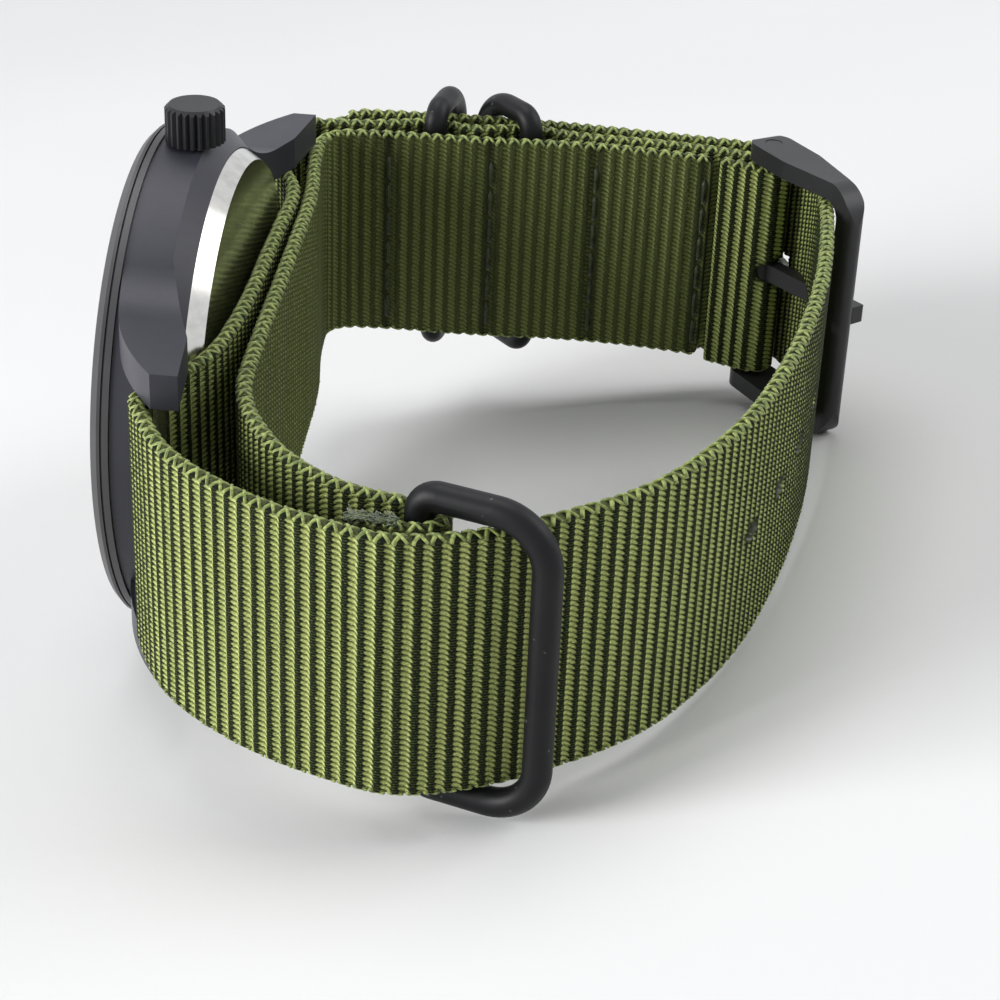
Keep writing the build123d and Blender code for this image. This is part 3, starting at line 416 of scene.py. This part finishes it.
wire_coat = coated_material(
    "wire_coat", (0.004, 0.004, 0.005), (0.009, 0.009, 0.01), 0.45, 3000.0, 0.25, specular=0.25)
buckle_coat = coated_material(
    "buckle_coat", (0.018, 0.018, 0.02), (0.028, 0.028, 0.03), 0.42, 4200.0, 0.2)
polished_steel = metal_material("polished_steel", (0.68, 0.67, 0.63), 0.14)
bar_steel = metal_material("bar_steel", (0.6, 0.6, 0.6), 0.2)
movement_nickel = metal_material("movement_nickel", (0.68, 0.68, 0.66), 0.25, 0.2, 0.4, (1, 1, 18))
train_brass = metal_material("train_brass", (0.75, 0.55, 0.24), 0.22, 0.15, 0.5)
dial_paint = plain_material("dial_paint", (0.008, 0.008, 0.009), 0.7, 6000.0, 0.004 * MM)
print_paint = plain_material("print_paint", (0.78, 0.8, 0.72), 0.5, 2500.0)
hand_paint = plain_material("hand_paint", (0.8, 0.8, 0.78), 0.3, 1800.0)
gasket_rubber = plain_material("gasket_rubber", (0.01, 0.01, 0.01), 0.7)
holder_plastic = plain_material("holder_plastic", (0.78, 0.78, 0.74), 0.45)
board_lacquer = plain_material("board_lacquer", (0.02, 0.16, 0.07), 0.3)
coil_lacquer = plain_material("coil_lacquer", (0.4, 0.13, 0.05), 0.3, 4000.0, 0.05 * MM)
clear_crystal = glass_material()

finishes = {
    case_coat: ["mid_case"],
    bezel_coat: ["bezel"],
    crown_coat: ["crown"],
    polished_steel: ["case_back", "crown_tube"],
    bar_steel: ["spring_bar_12", "spring_bar_6", "bar_tip_12_crown", "bar_tip_12_far",
                "bar_tip_6_crown", "bar_tip_6_far"],
    wire_coat: ["end_ring", "keeper_ring_1", "keeper_ring_2"],
    buckle_coat: ["buckle_frame", "heel_bar", "buckle_tongue"],
    clear_crystal: ["crystal"],
    dial_paint: ["dial", "chapter_ring"],
    hand_paint: ["hour_hand", "minute_hand", "seconds_hand"],
    gasket_rubber: ["crystal_gasket", "case_back_gasket", "crown_gasket"],
    train_brass: ["hour_wheel", "minute_wheel", "centre_wheel", "third_wheel", "seconds_wheel", "step_wheel"],
    movement_nickel: ["main_plate", "train_bridge", "bridge_screws", "stator", "battery", "battery_clamp",
                      "stem", "clutch_wheel", "setting_lever", "rotor", "quartz_can"],
    holder_plastic: ["movement_holder"],
    board_lacquer: ["circuit_board"],
    coil_lacquer: ["coil"],
    nylon: ["main_strap", "short_strap"],
}
for material, names in finishes.items():
    for node in names:
        clothe(node, material)


# Strap routes, as in the CAD: corners in the XY plane of the watch, each rounded


def spot(share):
    """Place in the strap's loop from shares of its depth and of half its length."""
    return (share[0] * loop_depth, share[1] * loop_half)


def step_from(start, heading, ahead, left):
    """Place ahead of and to the left of a start, for a heading in degrees."""
    turn = radians(heading)
    return (
        start[0] + ahead * cos(turn) - left * sin(turn),
        start[1] + ahead * sin(turn) + left * cos(turn),
    )


def bend(into, out):
    """Angle from one heading to another, between half a turn back and half a turn on."""
    return (out - into + pi) % (2 * pi) - pi


def around(before, bar, after, reach):
    """Corner of a route that keeps a bar on its left, at the distance reach from its centre."""
    in_x, in_y = bar[0] - before[0], bar[1] - before[1]
    out_x, out_y = after[0] - bar[0], after[1] - bar[1]
    into = atan2(in_y, in_x) - asin(reach / hypot(in_x, in_y))
    out = atan2(out_y, out_x) + asin(reach / hypot(out_x, out_y))
    turn = bend(into, out)
    away = into + turn / 2 - pi / 2
    span = reach / cos(turn / 2)
    return (bar[0] + span * cos(away), bar[1] + span * sin(away))


def fold_corners(before, bar, after, heading, reach):
    """Two corners of a fold round a bar on the left: ahead of it, on the tangents of both legs."""
    in_x, in_y = bar[0] - before[0], bar[1] - before[1]
    out_x, out_y = bar[0] - after[0], bar[1] - after[1]
    into = atan2(in_y, in_x) - asin(reach / hypot(in_x, in_y))
    back = atan2(out_y, out_x) + asin(reach / hypot(out_x, out_y))
    first = reach * tan(pi / 4 - (into - radians(heading)) / 2)
    second = reach * tan(pi / 4 + (back - radians(heading)) / 2)
    return step_from(bar, heading, reach, -first), step_from(bar, heading, reach, second)


half_thick = strap_thick / 2
bar_wrap = bar_r + press_gap + half_thick
ring_wrap = wire_r + press_gap + half_thick
heel_wrap = heel_bar_r + press_gap + half_thick
keeper_1_place = spot((0.333, 0.862))
keeper_2_place = spot((0.491, 0.867))
end_ring_place = spot((0.486, -0.945))
heel_place = spot((0.886, 0.78))
heel_turn = -20
fold_turn = -14
bar_12 = (case_rear, bar_y)
bar_6 = (case_rear, -bar_y)
behind_x = back_face + back_clear + half_thick
behind_shares = ((0.15, 1.0), (0.3, 0.35), (0.95, -0.45), (0.15, -1.0))
behind = [(behind_x + x * behind_bow, y * behind_crest) for x, y in behind_shares]
near_shares = (
    (0.152, -0.81),
    (0.294, -0.965),
    (0.462, -1.045),
    (0.545, -1.01),
    (0.62, -0.95),
    (0.757, -0.8),
    (0.862, -0.537),
    (0.927, -0.2),
    (0.962, 0.125),
    (0.9725, 0.375),
    (0.9725, 0.635),
    (0.936, 0.83),
)
tail_shares = (
    (0.875, 0.9),
    (0.732, 0.92),
    (0.6, 0.935),
    (0.491, 0.947),
    (0.314, 0.941),
    (0.22, 0.932),
    (0.143, 0.925),
)
pocket_middle = spot((0.39, 0.868))
far_corner = spot((0.086, 0.735))
keeper_2_corner = around(spot((0.57, 0.874)), keeper_2_place, pocket_middle, ring_wrap)
keeper_1_corner = around(pocket_middle, keeper_1_place, spot((0.222, 0.855)), ring_wrap)
bar_12_corner = around(far_corner, bar_12, behind[0], bar_wrap)
bar_6_corner = around(behind[-1], bar_6, spot(near_shares[0]), bar_wrap)
fold_end = spot((0.806, 0.789))
heel_out = spot((0.812, 0.852))
heel_corners = fold_corners(fold_end, heel_place, heel_out, heel_turn, heel_wrap)
main_route = [
    fold_end,
    *heel_corners,
    heel_out,
    spot((0.68, 0.872)),
    spot((0.57, 0.874)),
    keeper_2_corner,
    pocket_middle,
    keeper_1_corner,
    spot((0.222, 0.855)),
    spot((0.092, 0.84)),
    far_corner,
    bar_12_corner,
    *behind,
    bar_6_corner,
    *[spot(share) for share in near_shares],
    *[spot(share) for share in tail_shares],
]
main_limits = {
    heel_corners[0]: heel_wrap,
    heel_corners[1]: heel_wrap,
    keeper_1_corner: ring_wrap,
    keeper_2_corner: ring_wrap,
    bar_12_corner: bar_wrap,
    bar_6_corner: bar_wrap,
}
short_shares = (
    (0.39, -0.882),
    (0.29, -0.765),
    (0.216, -0.575),
    (0.207, -0.35),
    (0.199, -0.05),
    (0.19, 0.25),
    (0.184, 0.425),
    (0.16, 0.62),
    (0.155, 0.795),
    (0.25, 0.812),
    (0.43, 0.814),
    (0.553, 0.832),
    (0.68, 0.828),
    (0.792, 0.802),
)
fold_tail = spot((0.4125, -0.9725))
ring_corners = fold_corners(fold_tail, end_ring_place, spot(short_shares[0]), fold_turn, ring_wrap)
short_route = [fold_tail, *ring_corners, *[spot(share) for share in short_shares]]
short_limits = {ring_corners[0]: ring_wrap, ring_corners[1]: ring_wrap}


def rounded(route, limits):
    """Dense points along a route whose corners are rounded as far as their runs allow."""
    rounding_share = 0.48
    arc_step = radians(4)
    points = [np.array(route[0])]
    for before, here, after in zip(route, route[1:], route[2:]):
        into = atan2(here[1] - before[1], here[0] - before[0])
        out = atan2(after[1] - here[1], after[0] - here[0])
        turn = bend(into, out)
        first = hypot(here[0] - before[0], here[1] - before[1])
        second = hypot(after[0] - here[0], after[1] - here[1])
        radius = rounding_share * min(first, second) / tan(abs(turn) / 2)
        radius = min(radius, limits.get(here, radius))
        back = radius * tan(abs(turn) / 2)
        side = 1 if turn > 0 else -1
        centre = np.array(step_from(here, degrees(into), -back, side * radius))
        steps = max(3, int(abs(turn) / arc_step))
        for step in range(steps + 1):
            angle = into + turn * step / steps - side * pi / 2
            points.append(centre + radius * np.array((cos(angle), sin(angle))))
    points.append(np.array(route[-1]))
    return np.array(points)


def spaced(points, step):
    """Points at an even distance along a line, and the line's length."""
    runs = np.hypot(*np.diff(points, axis=0).T)
    reach = np.concatenate(([0], np.cumsum(runs)))
    count = int(reach[-1] / step)
    at = np.linspace(0, reach[-1], count + 1)
    return np.stack([np.interp(at, reach, points[:, axis]) for axis in (0, 1)], axis=1), reach[-1]


def eased(points, reach_points):
    """Line with its small kinks smoothed away, and its ends kept."""
    kernel = np.hanning(2 * reach_points + 1)
    kernel /= kernel.sum()
    padded = np.pad(points, ((reach_points, reach_points), (0, 0)), mode="reflect", reflect_type="odd")
    return np.stack([np.convolve(padded[:, axis], kernel, mode="valid") for axis in (0, 1)], axis=1)


def strap_line(route, limits):
    """Centre line of a strap in even steps, with the left-hand normals."""
    line, _ = spaced(rounded(route, limits), column_step)
    line, length = spaced(eased(line, ease_reach), column_step)
    ahead = np.gradient(line, axis=0)
    ahead /= np.hypot(*ahead.T)[:, None]
    normals = np.stack((-ahead[:, 1], ahead[:, 0]), axis=1)
    return line, normals, length


def rows_of(half_width):
    """Heights of the strap's rows of points: close together in the middle, where the holes are."""
    middle = np.arange(0, hole_width, fine_row)
    outer = np.arange(middle[-1] + wide_row, half_width - edge_round, wide_row)
    up = np.concatenate((middle, outer, [half_width - edge_round]))
    return np.concatenate((-up[:0:-1], up))


def tip_drop(distance, rounding):
    """How much a rounded tip's edge falls away at a distance from the strap's end."""
    inside = np.clip(rounding - distance, 0, rounding)
    return rounding - np.sqrt(rounding ** 2 - inside ** 2)


class Section:
    """Ring of points round a strap: inner face upwards, top edge, outer face downwards, bottom edge."""

    def __init__(self, half_width):
        self.rows = rows_of(half_width)
        self.sides = len(self.rows)
        arc = np.linspace(0, pi, edge_steps + 2)[1:-1]
        bulge = edge_round * np.sin(arc)
        self.lift = np.concatenate((np.ones(self.sides), np.cos(arc), -np.ones(self.sides), -np.cos(arc)))
        self.rise = np.concatenate((self.rows, self.rows[-1] + bulge, self.rows[::-1], self.rows[0] - bulge))
        self.ring = len(self.rise)
        self.inner = np.arange(self.sides)
        self.outer = 2 * self.sides + edge_steps - 1 - self.inner


def inside_hole(section, along, hole, shade_and_melt):
    """Marks the points inside an oval hole, and darkens those near its edge, for the hole's melted rim."""
    place, long, wide = hole
    inside = np.zeros((len(along), section.sides), bool)
    first = int((place - long / 2) / column_step) - 1
    last = int((place + long / 2) / column_step) + 2
    for column in range(max(first, 1), min(last, len(along) - 2) + 1):
        for row in section.inner:
            far = hypot((along[column] - place) / (long / 2), section.rows[row] / (wide / 2))
            inside[column, row] = far < 1
            darker = hole_shade * max(0.0, 1 - abs(far - 1) / hole_shade_reach)
            both = [row, section.outer[row]]
            shade_and_melt[column, both] = np.maximum(shade_and_melt[column, both], darker)
    return inside


def hole_rim(inside):
    """Points of the rows' grid that lie just outside a hole."""
    columns = np.where(inside.any(axis=1))[0]
    rim = set()
    if not len(columns):
        return rim
    for column in range(columns[0] - 1, columns[-1] + 2):
        for row in range(1, inside.shape[1] - 1):
            near = inside[column - 1:column + 2, row - 1:row + 2].any()
            if near and not inside[column, row]:
                rim.add((column, row))
    return rim


def hole_wall(section, inside, rim, index):
    """Faces that join the strap's two faces along a hole's rim."""
    faces = []
    for here in rim:
        for there in ((here[0] + 1, here[1]), (here[0], here[1] + 1)):
            if there in rim and shared_cells(inside, here, there) == 1:
                faces.append((index[here], index[there], index[there[0], section.outer[there[1]]],
                              index[here[0], section.outer[here[1]]]))
    return faces


def strap_faces(section, index, dead):
    """Faces of the woven skin, without the dead points, and then those of the two cut ends."""
    woven, ends = [], []
    following = (np.arange(section.ring) + 1) % section.ring
    for column in range(len(index) - 1):
        for row, after in enumerate(following):
            if not dead[column:column + 2, [row, after]].any():
                woven.append((index[column, row], index[column + 1, row],
                              index[column + 1, after], index[column, after]))
    for end in (0, -1):
        for row in range(section.sides - 1):
            ends.append((index[end, row], index[end, row + 1],
                         index[end, section.outer[row + 1]], index[end, section.outer[row]]))
        for first in (section.sides - 1, 2 * section.sides + edge_steps - 1):
            ends.append(tuple(index[end, (first + step) % section.ring] for step in range(edge_steps + 2)))
    return woven, ends


def set_layers(piece, weave_points, inside_shade_values):
    """Writes the attributes that the weave's material reads, and drops points that no face uses."""
    tidy = bmesh.new()
    tidy.from_mesh(piece.data)
    weave = tidy.verts.layers.float_vector.new("weave")
    inside_shade = tidy.verts.layers.float.new("inside_shade")
    for vertex, place, quiet in zip(tidy.verts, weave_points, inside_shade_values):
        vertex[weave] = place
        vertex[inside_shade] = quiet
    loose = [vertex for vertex in tidy.verts if not vertex.link_faces]
    bmesh.ops.delete(tidy, geom=loose, context="VERTS")
    bmesh.ops.recalc_face_normals(tidy, faces=tidy.faces)
    tidy.to_mesh(piece.data)
    tidy.free()


def strap_piece(name, line, normals, half_width, openings, pinches, inside_shade_share, rounding):
    """Woven strap with raised ribs, rounded edges, oval holes and pinched stitch lines."""
    count = len(line)
    along = np.arange(count) * column_step
    section = Section(half_width)
    gap = 0.5 + 0.5 * np.cos(2 * pi * along / rib_pitch)
    pinch = sum((np.exp(-(((along - place) / pinch_width) ** 2)) for place in pinches), np.zeros(count))
    half = half_thick - rib_depth * gap ** 1.5 - pinch_depth * pinch
    offset = (half[:, None] * section.lift[None, :])[:, :, None]
    narrow = 1 - tip_drop(along[::-1], rounding) / half_width
    points = np.zeros((count, section.ring, 3))
    points[:, :, :2] = line[:, None, :] + normals[:, None, :] * offset
    points[:, :, 2] = narrow[:, None] * section.rise[None, :]
    # Painted shade on the rounded edges, between the selvedge loops
    shade_and_melt = np.tile(edge_shade * (np.abs(section.rise) > section.rows[-1]), (count, 1))
    dead = np.zeros((count, section.ring), bool)
    index = np.arange(count * section.ring).reshape(count, section.ring)
    holes = [(hole, inside_hole(section, along, hole, shade_and_melt)) for hole in openings]
    for _, inside in holes:
        dead[:, section.inner] |= inside
        dead[:, section.outer] |= inside
    woven, melted = strap_faces(section, index, dead)
    for (place, long, wide), inside in holes:
        rim = hole_rim(inside)
        for column, row in rim:
            # The rim's point moves onto the oval
            x, y = along[column] - place, section.rows[row]
            angle = atan2(y / (wide / 2), x / (long / 2))
            ahead = np.array((normals[column][1], -normals[column][0]))
            for ring_row in (row, section.outer[row]):
                points[column, ring_row, :2] += ahead * (long / 2 * cos(angle) - x)
                points[column, ring_row, 2] += wide / 2 * sin(angle) - y
                shade_and_melt[column, ring_row] = rim_shade
        melted += hole_wall(section, inside, rim, index)
    piece = make_mesh(name, points.reshape(-1, 3), woven + melted)
    # Painted shade in the pinched stitch lines, added to the darkening channel
    shade_and_melt = shade_and_melt.reshape(-1) + pinch_shade * np.repeat(np.clip(pinch, 0, 1), section.ring)
    weave_points = zip(
        np.repeat(along / rib_pitch + 0.5, section.ring),
        np.tile(section.rise / warp_pitch, count),
        np.clip(shade_and_melt, 0, 1),
    )
    # Painted shade on the face towards the inside of the loop
    set_layers(piece, weave_points, np.tile(inside_shade_share * (section.lift < 0), count))
    piece.data.materials.append(nylon)
    piece.data.materials.append(melted_edge)
    kinds = np.zeros(len(piece.data.polygons), int)
    kinds[len(woven):] = 1
    piece.data.polygons.foreach_set("material_index", kinds)
    return piece


def shared_cells(inside, here, there):
    """Number of cells beside an edge of the rows' grid that have no corner in the hole."""
    column, row = here
    other = (column - 1, row) if there[0] == column else (column, row - 1)
    return sum(1 for c, r in (here, other) if not inside[c:c + 2, r:r + 2].any())


def tube(path, radius, sides):
    """Points and faces of a round thread along a path of points."""
    path = np.asarray(path)
    ahead = np.gradient(path, axis=0)
    ahead /= np.linalg.norm(ahead, axis=1)[:, None]
    guide = np.array((0.31, 0.52, 0.79))
    right = np.cross(ahead, guide)
    right /= np.linalg.norm(right, axis=1)[:, None]
    up = np.cross(right, ahead)
    turn = np.linspace(0, 2 * pi, sides, endpoint=False)
    across = right[:, None, :] * np.cos(turn)[None, :, None]
    above = up[:, None, :] * np.sin(turn)[None, :, None]
    points = (path[:, None, :] + (across + above) * radius).reshape(-1, 3)
    faces = []
    for step in range(len(path) - 1):
        for side in range(sides):
            a, b = step * sides + side, step * sides + (side + 1) % sides
            faces.append((a, b, b + sides, a + sides))
    faces.append(tuple(range(sides))[::-1])
    faces.append(tuple(range((len(path) - 1) * sides, len(path) * sides)))
    return points, faces


def threads_piece(name, paths, radius, material, sides=6):
    """One object made of many threads."""
    points, faces, start = [], [], 0
    for path in paths:
        some, theirs = tube(path, radius, sides)
        points.append(some)
        faces += [tuple(i + start for i in face) for face in theirs]
        start += len(some)
    piece = make_mesh(name, np.concatenate(points), faces)
    piece.data.materials.append(material)
    return piece


def on_line(line, normals, column):
    """Place and left-hand normal on a strap's line at a fraction of a column."""
    column = min(max(column, 0), len(line) - 1.001)
    at = int(column)
    rest = column - at
    return line[at] * (1 - rest) + line[at + 1] * rest, normals[at]


def selvedge_paths(line, normals, half_width, lean, rounding):
    """Loops of the weft over both edges, one at each rib, slanting from face to face by the lean."""
    paths = []
    drops = tip_drop(np.arange(len(line))[::-1] * column_step, rounding)
    for side in (-1, 1):
        for rib in range(int((len(line) - 1) / rib_steps)):
            middle = (rib + 0.5 + random.uniform(-loop_wander, loop_wander)) * rib_steps
            reach = selvedge_reach * random.uniform(0.92, 1.05)
            path = []
            for share in np.linspace(-1, 1, loop_points):
                base, normal = on_line(line, normals, middle + share * lean * rib_steps)
                place = base + normal * reach * share
                height = half_width - drops[int(middle)] - edge_round
                height += selvedge_bulge * cos(share * pi / 2)
                path.append((place[0], place[1], side * height))
            paths.append(np.array(path))
    return paths


def distance_at(line, x, after):
    """Distance along a line where it passes an x, past a given distance."""
    steps = np.arange(len(line)) * column_step
    later = steps >= after
    return steps[later][int(np.argmin(np.abs(line[later, 0] - x)))]


strap_half = strap_width / 2
short_half = strap_half - short_trim
main_line, main_normals, main_length = strap_line(main_route, main_limits)
short_line, short_normals, short_length = strap_line(short_route, short_limits)
buckled = main_length * buckled_share
main_openings = [
    (buckled + hole * hole_pitch, hole_length, hole_width) for hole in range(-holes_before, holes_after + 1)
]
main_openings.append((main_length * slot_share, slot_length, slot_width))
short_pinches = [distance_at(short_line, x, 0.6 * short_length) for x in stitch_x]
main_piece = strap_piece(
    "woven_main_strap", main_line, main_normals, strap_half, main_openings, [], 0, tip_round)
short_piece = strap_piece(
    "woven_short_strap", short_line, short_normals, short_half, [], short_pinches, short_inside_shade, short_round)
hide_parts("main_strap")
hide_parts("short_strap")

for name, line, normals, half_width, rounding in (
    ("main", main_line, main_normals, strap_half, tip_round),
    ("short", short_line, short_normals, short_half, short_round),
):
    loops = selvedge_paths(line, normals, half_width, selvedge_lean, rounding)
    crossing = selvedge_paths(line, normals, half_width + cross_loop_r, cross_loop_lean, rounding)
    threads_piece(name + "_selvedge", loops, selvedge_r, selvedge_yarn)
    threads_piece(name + "_cross_loops", crossing, cross_loop_r, selvedge_yarn)


def stitch_paths(distance):
    """One row of stitches across the short strap, on the face towards the inside of the loop."""
    at = int(distance / column_step)
    out = -short_normals[at]
    base = short_line[at] + out * (half_thick - stitch_seat + stitch_lift)
    paths = []
    height = -short_half + stitch_low_margin
    while height + stitch_length < short_half - stitch_high_margin:
        path = []
        for share in np.linspace(0, 1, loop_points):
            sink = (1 - sin(share * pi) ** 0.5) * stitch_dip
            place = base - out * sink
            path.append((place[0], place[1], height + share * stitch_length))
        paths.append(np.array(path))
        height += stitch_length + stitch_gap
    return paths


stitches = [path for distance in short_pinches for path in stitch_paths(distance)]
stitching = threads_piece("stitching", stitches, stitch_r, stitch_thread)


# Frayed cut end of the short strap's fold


def fray_paths():
    """Loose fibres at the cut end of the fold, mostly near its top, and a third along its top edge."""
    paths = []
    end, normal = short_line[0], short_normals[0]
    back = short_line[0] - short_line[4]
    back = back / np.hypot(*back)
    for fibre in range(fray_count):
        at_edge = fibre % 3 == 0
        height = short_half - abs(random.gauss(0, 0.3)) * 2 * short_half
        if at_edge:
            height = short_half
        if height < -short_half:
            continue
        across = random.uniform(-1, 1) * half_thick * 0.8
        long = random.uniform(0.3, 1.1) * MM
        lean = random.uniform(-0.6, 0.6)
        rise = random.uniform(-0.4, 0.8)
        start = end - back * random.uniform(0, fray_edge_reach) if at_edge else end
        path = []
        for share in np.linspace(0, 1, 5):
            curl = sin(share * 2.2) * random.uniform(0.0, 0.25) * MM
            place = start + back * long * share * 0.7
            place = place + normal * (across + lean * long * share * share)
            path.append((place[0], place[1], min(height + rise * long * share + curl, strap_half)))
        paths.append(np.array(path))
    return paths


threads_piece("frayed_end", fray_paths(), fray_r, frayed_yarn, sides=4)

# Front of the case's wall under the bezel, where the lugs' curve cuts into the solid


def wall_arc(name, middle):
    """Arc of the wall just inside the flank, closed on all sides, about an angle from 3 o'clock."""
    section = (
        (bezel_back + wall_gap, flank_r - wall_gap),
        (flank_back, flank_r - wall_gap),
        (flank_back, bore_r + wall_gap),
        (bezel_back + wall_gap, bore_r + wall_gap),
    )
    points, faces = [], []
    for step in range(wall_steps + 1):
        angle = middle + (step / wall_steps - 0.5) * wall_span
        points += [(x, r * sin(angle), r * cos(angle)) for x, r in section]
    for start in range(0, wall_steps * 4, 4):
        for corner in range(4):
            after = (corner + 1) % 4
            faces.append((start + corner, start + after, start + 4 + after, start + 4 + corner))
    faces.append((3, 2, 1, 0))
    faces.append(tuple(wall_steps * 4 + corner for corner in range(4)))
    piece = make_mesh(name, points, faces, smooth=False)
    piece.data.materials.append(case_coat)


wall_arc("case_wall_12", pi / 2)
wall_arc("case_wall_6", -pi / 2)

# Dial print, and luminous fillings of the hands


def on_dial(points, x):
    """Places in the watch's axes of points drawn on the dial as (to the crown, to twelve o'clock)."""
    return [(x, up, across) for across, up in points]


def numeral(text, height, reach, hour):
    """Mesh of one upright numeral, centred at its hour."""
    curve = bpy.data.curves.new("numeral", "FONT")
    curve.body = text
    curve.size = height
    curve.align_x, curve.align_y = "CENTER", "CENTER"
    letter = bpy.data.objects.new("numeral", curve)
    mesh = bpy.data.meshes.new_from_object(letter)
    turn = hour / 12 * 2 * pi
    flat = [(vertex.co.x + reach * sin(turn), vertex.co.y + reach * cos(turn)) for vertex in mesh.vertices]
    faces = [tuple(face.vertices) for face in mesh.polygons]
    bpy.data.objects.remove(letter)
    bpy.data.meshes.remove(mesh)
    bpy.data.curves.remove(curve)
    return flat, faces


def tick(turn, inner, outer, half):
    """Narrow mark from one radius to another."""
    ahead, aside = (sin(turn), cos(turn)), (cos(turn), -sin(turn))
    corners = ((inner, -half), (outer, -half), (outer, half), (inner, half))
    flat = [(r * ahead[0] + w * aside[0], r * ahead[1] + w * aside[1]) for r, w in corners]
    return flat, [(3, 2, 1, 0)]


def printed(name, shapes, x, material, body="watch"):
    """One thin printed piece made of flat shapes at a depth."""
    points, faces, start = [], [], 0
    for flat, some in shapes:
        points += on_dial(flat, x)
        faces += [tuple(i + start for i in face) for face in some]
        start += len(flat)
    piece = make_mesh(name, points, faces, body, smooth=False)
    piece.data.materials.append(material)


marks = [numeral(str(hour), numeral_height, numeral_reach, hour) for hour in range(1, 13)]
marks += [numeral(str(hour + 12), small_height, small_reach, hour) for hour in range(1, 13)]
for minute in range(60):
    half = tick_wide if minute % 5 == 0 else tick_fine
    marks.append(tick(minute / 60 * 2 * pi, track_inner, track_outer, half))
printed("dial_print", marks, dial_front - print_proud, print_paint)


def filling(length, half, turn):
    """Kite inside the outline of a hand that points to a turn."""
    shape = ((0, 0.24), (0.3, 0.3), (0.62, 0.6), (0.06, 0.93))
    outline = [(x * half, y * length) for x, y in shape]
    outline += [(-x, y) for x, y in reversed(outline[1:])]
    flat = [(x * cos(turn) + y * sin(turn), y * cos(turn) - x * sin(turn)) for x, y in outline]
    return flat, [tuple(range(len(flat)))[::-1]]


second_share = shown_second / 60
minute_share = (shown_minute + second_share) / 60
hour_share = (shown_hour + minute_share) / 12
for name, length, half, level, share, body in (
    ("hour_lume", hour_hand_length, hour_hand_half, 1, hour_share, "hours"),
    ("minute_lume", minute_hand_length, minute_hand_half, 2, minute_share, "minutes"),
):
    front = dial_front - level * hand_spacing - hand_thick - print_proud
    printed(name, [filling(length, half, share * 2 * pi)], front, lume_paint, body)

# Floor, light and camera


def floor_material():
    """Pale paper with a faint grain, which fades into the room's own light far from the watch."""
    s = Shader("pale_paper")
    grain = s.noise(900.0, 4.0)
    cloud = s.noise(7.0, 2.0)
    base = s.mix(s.ramp(cloud, 0.3, 0.7), (0.79, 0.79, 0.79), (0.83, 0.83, 0.835))
    s.set(Base_Color=base, Roughness=0.75)
    s.bump(grain, 0.05 * MM, 0.35)
    reach = s.node("ShaderNodeVectorMath", operation="LENGTH")
    s.link(s.node("ShaderNodeTexCoord").outputs["Object"], reach.inputs[0])
    far = s.ramp(reach.outputs["Value"], fade_start, fade_end)
    glow = s.node("ShaderNodeEmission")
    glow.inputs["Color"].default_value = room_colour
    path = s.node("ShaderNodeLightPath")
    seen = s.math("MAXIMUM", path.outputs["Is Camera Ray"], path.outputs["Is Glossy Ray"])
    s.feed(glow.inputs["Strength"], s.math("MULTIPLY_ADD", seen, room_seen - room_light, room_light))
    blend = s.node("ShaderNodeMixShader")
    s.link(far, blend.inputs[0])
    s.link(s.surface.outputs[0], blend.inputs[1])
    s.link(glow.outputs[0], blend.inputs[2])
    s.link(blend.outputs[0], s.tree.nodes["Material Output"].inputs["Surface"])
    return s.material


floor_mesh = bpy.data.meshes.new("floor")
corners = [(x * floor_half, y * floor_half, 0) for x, y in ((-1, -1), (1, -1), (1, 1), (-1, 1))]
floor_mesh.from_pydata(corners, [], [(0, 1, 2, 3)])
floor_plane = bpy.data.objects.new("floor", floor_mesh)
bpy.context.scene.collection.objects.link(floor_plane)
floor_mesh.materials.append(floor_material())


def lamp(name, place, size, power):
    """Square area lamp that looks at the object's middle."""
    data = bpy.data.lights.new(name, "AREA")
    data.shape = "SQUARE"
    data.size = size
    data.energy = power
    made = bpy.data.objects.new(name, data)
    bpy.context.scene.collection.objects.link(made)
    made.location = place
    aim = Vector(lamp_aim) - Vector(place)
    made.rotation_euler = aim.to_track_quat("-Z", "Y").to_euler()


for name, settings in lamps.items():
    lamp(name, *settings)

world = bpy.data.worlds.new("soft_room")
world.use_nodes = True
room = world.node_tree
path = room.nodes.new("ShaderNodeLightPath")
seen = room.nodes.new("ShaderNodeMath")
seen.operation = "MAXIMUM"
room.links.new(path.outputs["Is Camera Ray"], seen.inputs[0])
room.links.new(path.outputs["Is Glossy Ray"], seen.inputs[1])
level = room.nodes.new("ShaderNodeMapRange")
level.inputs["To Min"].default_value = room_light
level.inputs["To Max"].default_value = room_seen
room.links.new(seen.outputs[0], level.inputs["Value"])
room.links.new(level.outputs[0], room.nodes["Background"].inputs["Strength"])
room.nodes["Background"].inputs["Color"].default_value = room_colour
bpy.context.scene.world = world
bpy.context.scene.view_settings.view_transform = "Standard"

camera_data = bpy.data.cameras.new("camera")
camera_data.sensor_width = sensor_mm
camera_data.lens = camera_focus_px / picture_px * sensor_mm
camera_data.clip_start = camera_near
camera = bpy.data.objects.new("camera", camera_data)
bpy.context.scene.collection.objects.link(camera)
right, up = Vector(camera_right).normalized(), Vector(camera_up).normalized()
look = Matrix((right, up, right.cross(up))).transposed().to_4x4()
camera.matrix_world = watch @ Matrix.Translation(camera_place) @ look
bpy.context.scene.camera = camera
